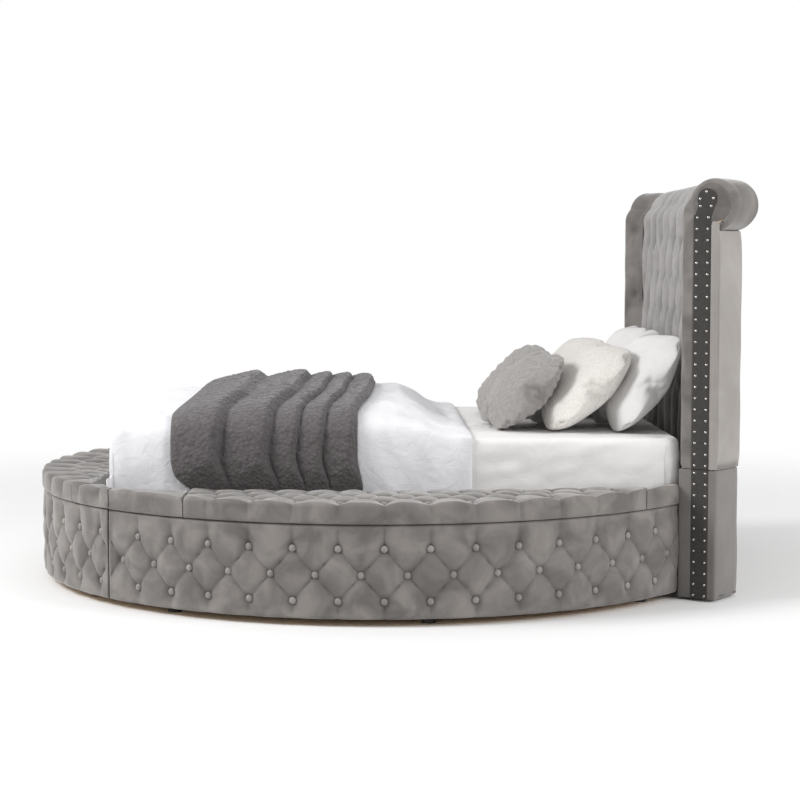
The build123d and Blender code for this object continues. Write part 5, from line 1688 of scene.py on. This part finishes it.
@dataclass
class Pillow:
    """One kind of pillow: sewn flat, blown up as cloth, then set down in a pair."""
    name: str
    node: str
    slot: str
    finish: Finish
    width: float
    height: float
    thickness: float
    place: float
    lean: float
    fill: float = 0.8
    ruches: float = 0.0
    turn: float = 7.0
    grain: float = 0.016
    frames: int = 22
    corner_pull: float = 0.17
    end_swell: float = 0.09
    side_swell: float = 0.25
    flat_share: float = 0.28
    row_pitch: float = 0.034
    pucker_pitch: float = 0.046
    gather: Crumple = Crumple(0.10, 71, 1.3)

    def bag(self) -> bpy.types.Object:
        """Two layers of cloth sewn round their edge, full along the middle of each side."""
        across = np.linspace(-1, 1, int(self.width / self.grain))[:, None]
        up = np.linspace(-1, 1, int(self.height / self.grain))
        layer = np.concatenate([np.ones(len(up)), -np.ones(len(up) - 1)])[None, :]
        layer[0, [0, len(up) - 1, -1]] = 0
        loop = np.concatenate([up, up[-2::-1]])[None, :]
        room = (1 - across ** 4) * (1 - loop ** 4)
        pull = 1 - self.corner_pull * across ** 6 * loop ** 6
        x = across * self.width / 2 * (1 + self.end_swell * (1 - loop ** 2)) * pull
        y = loop * self.height / 2 * (1 + self.side_swell * (1 - across ** 2)) * pull
        z = layer * room * self.thickness * self.flat_share
        return skin(self.name, np.stack([x, y, z], axis=2))

    def inflate(self, piece: bpy.types.Object) -> None:
        """Blow the bag up with the cloth solver."""
        modifier = piece.modifiers.new("stuffing", "CLOTH")
        settings = modifier.settings
        settings.quality = 6
        settings.mass = 0.25
        settings.tension_stiffness = settings.compression_stiffness = 12
        settings.shear_stiffness = 4
        settings.bending_stiffness = 0.25
        settings.use_pressure = True
        settings.uniform_pressure_force = 4.5
        settings.effector_weights.gravity = 0
        modifier.point_cache.frame_start = 1
        modifier.point_cache.frame_end = self.frames
        for number in range(1, self.frames + 1):
            bpy.context.scene.frame_set(number)
        bpy.ops.object.modifier_apply(modifier=modifier.name)
        bpy.context.scene.frame_set(1)

    def blown(self) -> bpy.types.Object:
        """Blow the bag up, bring it to size and, on a ruched cushion, gather its cloth."""
        piece = self.bag()
        only(piece)
        self.inflate(piece)
        spots = spots_of(piece)
        low, high = spots.min(axis=0), spots.max(axis=0)
        spots = (spots - (high + low) / 2) * (np.array([self.width, self.height, self.thickness])
                                              / (high - low))
        piece.data.vertices.foreach_set("co", spots.ravel())
        shaped(piece, "SUBSURF", levels=1, render_levels=1)
        if self.ruches:
            self.ruche(piece)
            shaped(piece, "SUBSURF", levels=1, render_levels=1)
        bpy.ops.object.shade_smooth_by_angle(angle=math.radians(80))
        return piece

    def ruche(self, piece: bpy.types.Object) -> None:
        """Gather the cloth in small uneven rows across the cushion."""
        spots = spots_of(piece)
        across, up = spots[:, 0], spots[:, 1]
        rows = np.sin(up * 2 * math.pi / self.row_pitch + self.gather.at(across, up))
        puckers = np.sin(across * 2 * math.pi / self.pucker_pitch + rows * 1.5)
        spots[:, 2] += np.sign(spots[:, 2]) * (rows + 0.5 * puckers * np.abs(rows)) * self.ruches
        piece.data.vertices.foreach_set("co", spots.ravel())

    def build(self) -> None:
        """Make the pair, leant back on the mattress."""
        model = self.blown()
        low, high = (Vector(corner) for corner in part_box(self.node))
        turn = Matrix.Rotation(math.radians(self.lean), 4, "X")
        spots = [turn @ vertex.co for vertex in model.data.vertices]
        depths = [spot.y for spot in spots]
        y = self.place - (max(depths) + min(depths)) / 2
        z = low.z - min(spot.z for spot in spots) + 0.002
        pair = []
        for side, tilt, roll in ((-1, -1.5, -1.2), (1, self.turn, 1.4)):
            place = Matrix.Translation((side * (high.x - self.width / 2), y, z))
            sway = Matrix.Rotation(math.radians(roll), 4, "Y") @ Matrix.Rotation(math.radians(tilt), 4, "Z")
            pair.append(copied(model, place @ sway @ turn))
        bpy.data.objects.remove(model)
        for name, piece in zip(("left", "right"), pair):
            only(piece)
            bpy.ops.object.transform_apply(location=True, rotation=True, scale=True)
            piece.name = f"{name}_{self.name}"
            piece.data.name = piece.name
            dress(piece, self.finish, "bed")
            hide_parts(self.node)


@dataclass
class Bedding:
    """Everything that dresses the mattress."""
    drape: Drape = field(default_factory=Drape)

    def build(self) -> None:
        """Build mattress, duvet, throw and pillows."""
        pieces = (
            Mattress(), Duvet(self.drape), Throw(self.drape),
            Pillow("bare_pillow", "bare_pillows", "pillow_cotton", PILLOW_COTTON, width=0.640,
                   height=0.430, thickness=0.178, place=0.960, lean=57.0),
            Pillow("plush_pillow", "plush_pillows", "plush", CREAM_PLUSH, width=0.610,
                   height=0.430, thickness=0.185, place=0.752, lean=44.0),
            Pillow("ruched_cushion", "ruched_cushions", "ruched_satin", RUCHED_SATIN, width=0.560,
                   height=0.375, thickness=0.148, place=0.535, lean=46.0, ruches=0.0046),
        )
        for piece in pieces:
            piece.build()


# Rigid pieces

@dataclass
class Carcass:
    """The finish of every CAD node; boards, hinges, feet and supports keep their CAD shapes."""
    finishes: dict[str, Finish] = field(default_factory=lambda: {
        "zinc_steel": ZINC, "pine": PINE, "plywood": PLYWOOD, "black_plastic": BLACK_PLASTIC,
        "nickel_nails": NICKEL, "dark_trim": DARK_TRIM, "grey_velvet": GREY_VELVET,
        "cover_velvet": COVER_VELVET, "mattress_ticking": SHEET, "duvet_cotton": DUVET_COTTON,
        "quilted_throw": THROW_CLOTH, "pillow_cotton": PILLOW_COTTON, "plush": CREAM_PLUSH,
        "ruched_satin": RUCHED_SATIN})
    lined: str = "headboard_frame"

    def build(self) -> None:
        """Give every CAD node the finish of its slot, and the lined one its lining."""
        for part in frame["record"]["subparts"]:
            node = frame["nodes"][part["node"]]
            finish = LINING if part["node"] == self.lined else self.finishes.get(part["material_slot"])
            if finish is not None:
                node.data.materials.clear()
                node.data.materials.append(finish.material())


# Stage

@dataclass(frozen=True)
class Lamp:
    """A square soft lamp, and the spot that it looks at."""
    name: str
    energy: float
    size: float
    place: tuple[float, float, float]
    target: tuple[float, float, float]

    def build(self) -> None:
        """Hang the lamp."""
        lamp = bpy.data.lights.new(self.name, "AREA")
        lamp.energy = self.energy
        lamp.size = self.size
        piece = bpy.data.objects.new(self.name, lamp)
        piece.location = self.place
        way = Vector(self.target) - Vector(self.place)
        piece.rotation_euler = way.to_track_quat("-Z", "Y").to_euler()
        bpy.context.collection.objects.link(piece)


@dataclass
class Stage:
    """Pale floor, soft light and the camera."""
    floor_colour: str = "#FAFAFA"
    floor_size: float = 60.0
    floor_near: float = 1.6
    floor_far: float = 5.5
    light: float = 0.50
    lamps: tuple[Lamp, ...] = (Lamp("key", 305.0, 2.6, (2.2, -5.2, 4.4), (0, 0, 0.4)),
                               Lamp("side", 170.0, 2.6, (3.6, 5.2, 2.8), (0.6, 0.6, 0.6)),
                               Lamp("top", 20.0, 3.5, (-1.0, 0.5, 5.2), (0, 0, 0)))
    location: tuple[float, float, float] = (7.733, -0.057, 1.227)
    yaw: float = -0.017
    pitch: float = 0.073
    lens: float = 88.0

    def build(self) -> None:
        """Set the stage: floor, light from all round, a key from the left with soft fills, camera."""
        self.floor()
        self.world()
        for lamp in self.lamps:
            lamp.build()
        self.camera()

    def floor(self) -> None:
        """A pale floor that fades into the background."""
        bpy.ops.object.select_all(action="DESELECT")
        bpy.ops.mesh.primitive_plane_add(size=self.floor_size, location=(0, 0, 0))
        floor = bpy.context.object
        floor.name = "studio_floor"
        material = bpy.data.materials.new("pale floor paint")
        material.use_nodes = True
        tree = material.node_tree
        tree.nodes.clear()
        paint = add_node(tree, "ShaderNodeBsdfPrincipled", None,
                         {"Base Color": linear(self.floor_colour), "Roughness": 0.9})
        place = add_node(tree, "ShaderNodeTexCoord")
        away = add_node(tree, "ShaderNodeVectorMath", {"operation": "LENGTH"},
                        {0: place.outputs["Object"]})
        fade = add_node(tree, "ShaderNodeMapRange", {"interpolation_type": "SMOOTHSTEP"},
                        {"Value": away.outputs["Value"], "From Min": self.floor_near,
                         "From Max": self.floor_far})
        clear = add_node(tree, "ShaderNodeBsdfTransparent")
        mix = add_node(tree, "ShaderNodeMixShader", None,
                       {0: fade.outputs[0], 1: paint.outputs[0], 2: clear.outputs[0]})
        add_node(tree, "ShaderNodeOutputMaterial", None, {"Surface": mix.outputs[0]})
        floor.data.materials.append(material)

    def world(self) -> None:
        """White behind the object, soft even light on it."""
        world = bpy.data.worlds.new("studio")
        bpy.context.scene.world = world
        world.use_nodes = True
        tree = world.node_tree
        tree.nodes.clear()
        rays = add_node(tree, "ShaderNodeLightPath")
        seen = rays.outputs["Is Camera Ray"]
        for kind in ("Is Glossy Ray", "Is Transmission Ray"):
            seen = add_node(tree, "ShaderNodeMath", {"operation": "MAXIMUM"},
                            {0: seen, 1: rays.outputs[kind]}).outputs[0]
        light, white = (add_node(tree, "ShaderNodeBackground", None,
                                 {"Color": (1, 1, 1, 1), "Strength": strength}).outputs[0]
                        for strength in (self.light, 1.0))
        mix = add_node(tree, "ShaderNodeMixShader", None, {0: seen, 1: light, 2: white})
        add_node(tree, "ShaderNodeOutputWorld", None, {"Surface": mix.outputs[0]})

    def camera(self) -> None:
        """A camera at the photograph's viewing angle."""
        data = bpy.data.cameras.new("camera")
        data.lens = self.lens
        data.sensor_width = 36.0
        data.clip_end = 100.0
        eye = bpy.data.objects.new("camera", data)
        level = math.cos(self.pitch)
        way = Vector((-math.cos(self.yaw) * level, -math.sin(self.yaw) * level, -math.sin(self.pitch)))
        eye.location = self.location
        eye.rotation_euler = way.to_track_quat("-Z", "Y").to_euler()
        bpy.context.collection.objects.link(eye)
        bpy.context.scene.camera = eye
        bpy.context.scene.view_settings.view_transform = "Standard"


def main() -> None:
    """Build every sub-assembly in order."""
    logging.basicConfig(level=logging.INFO, format="%(message)s")
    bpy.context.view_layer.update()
    Stage().build()
    Carcass().build()
    RingPads().build()
    Headboard().build()
    Bedding().build()


if __name__ == "__main__":
    main()
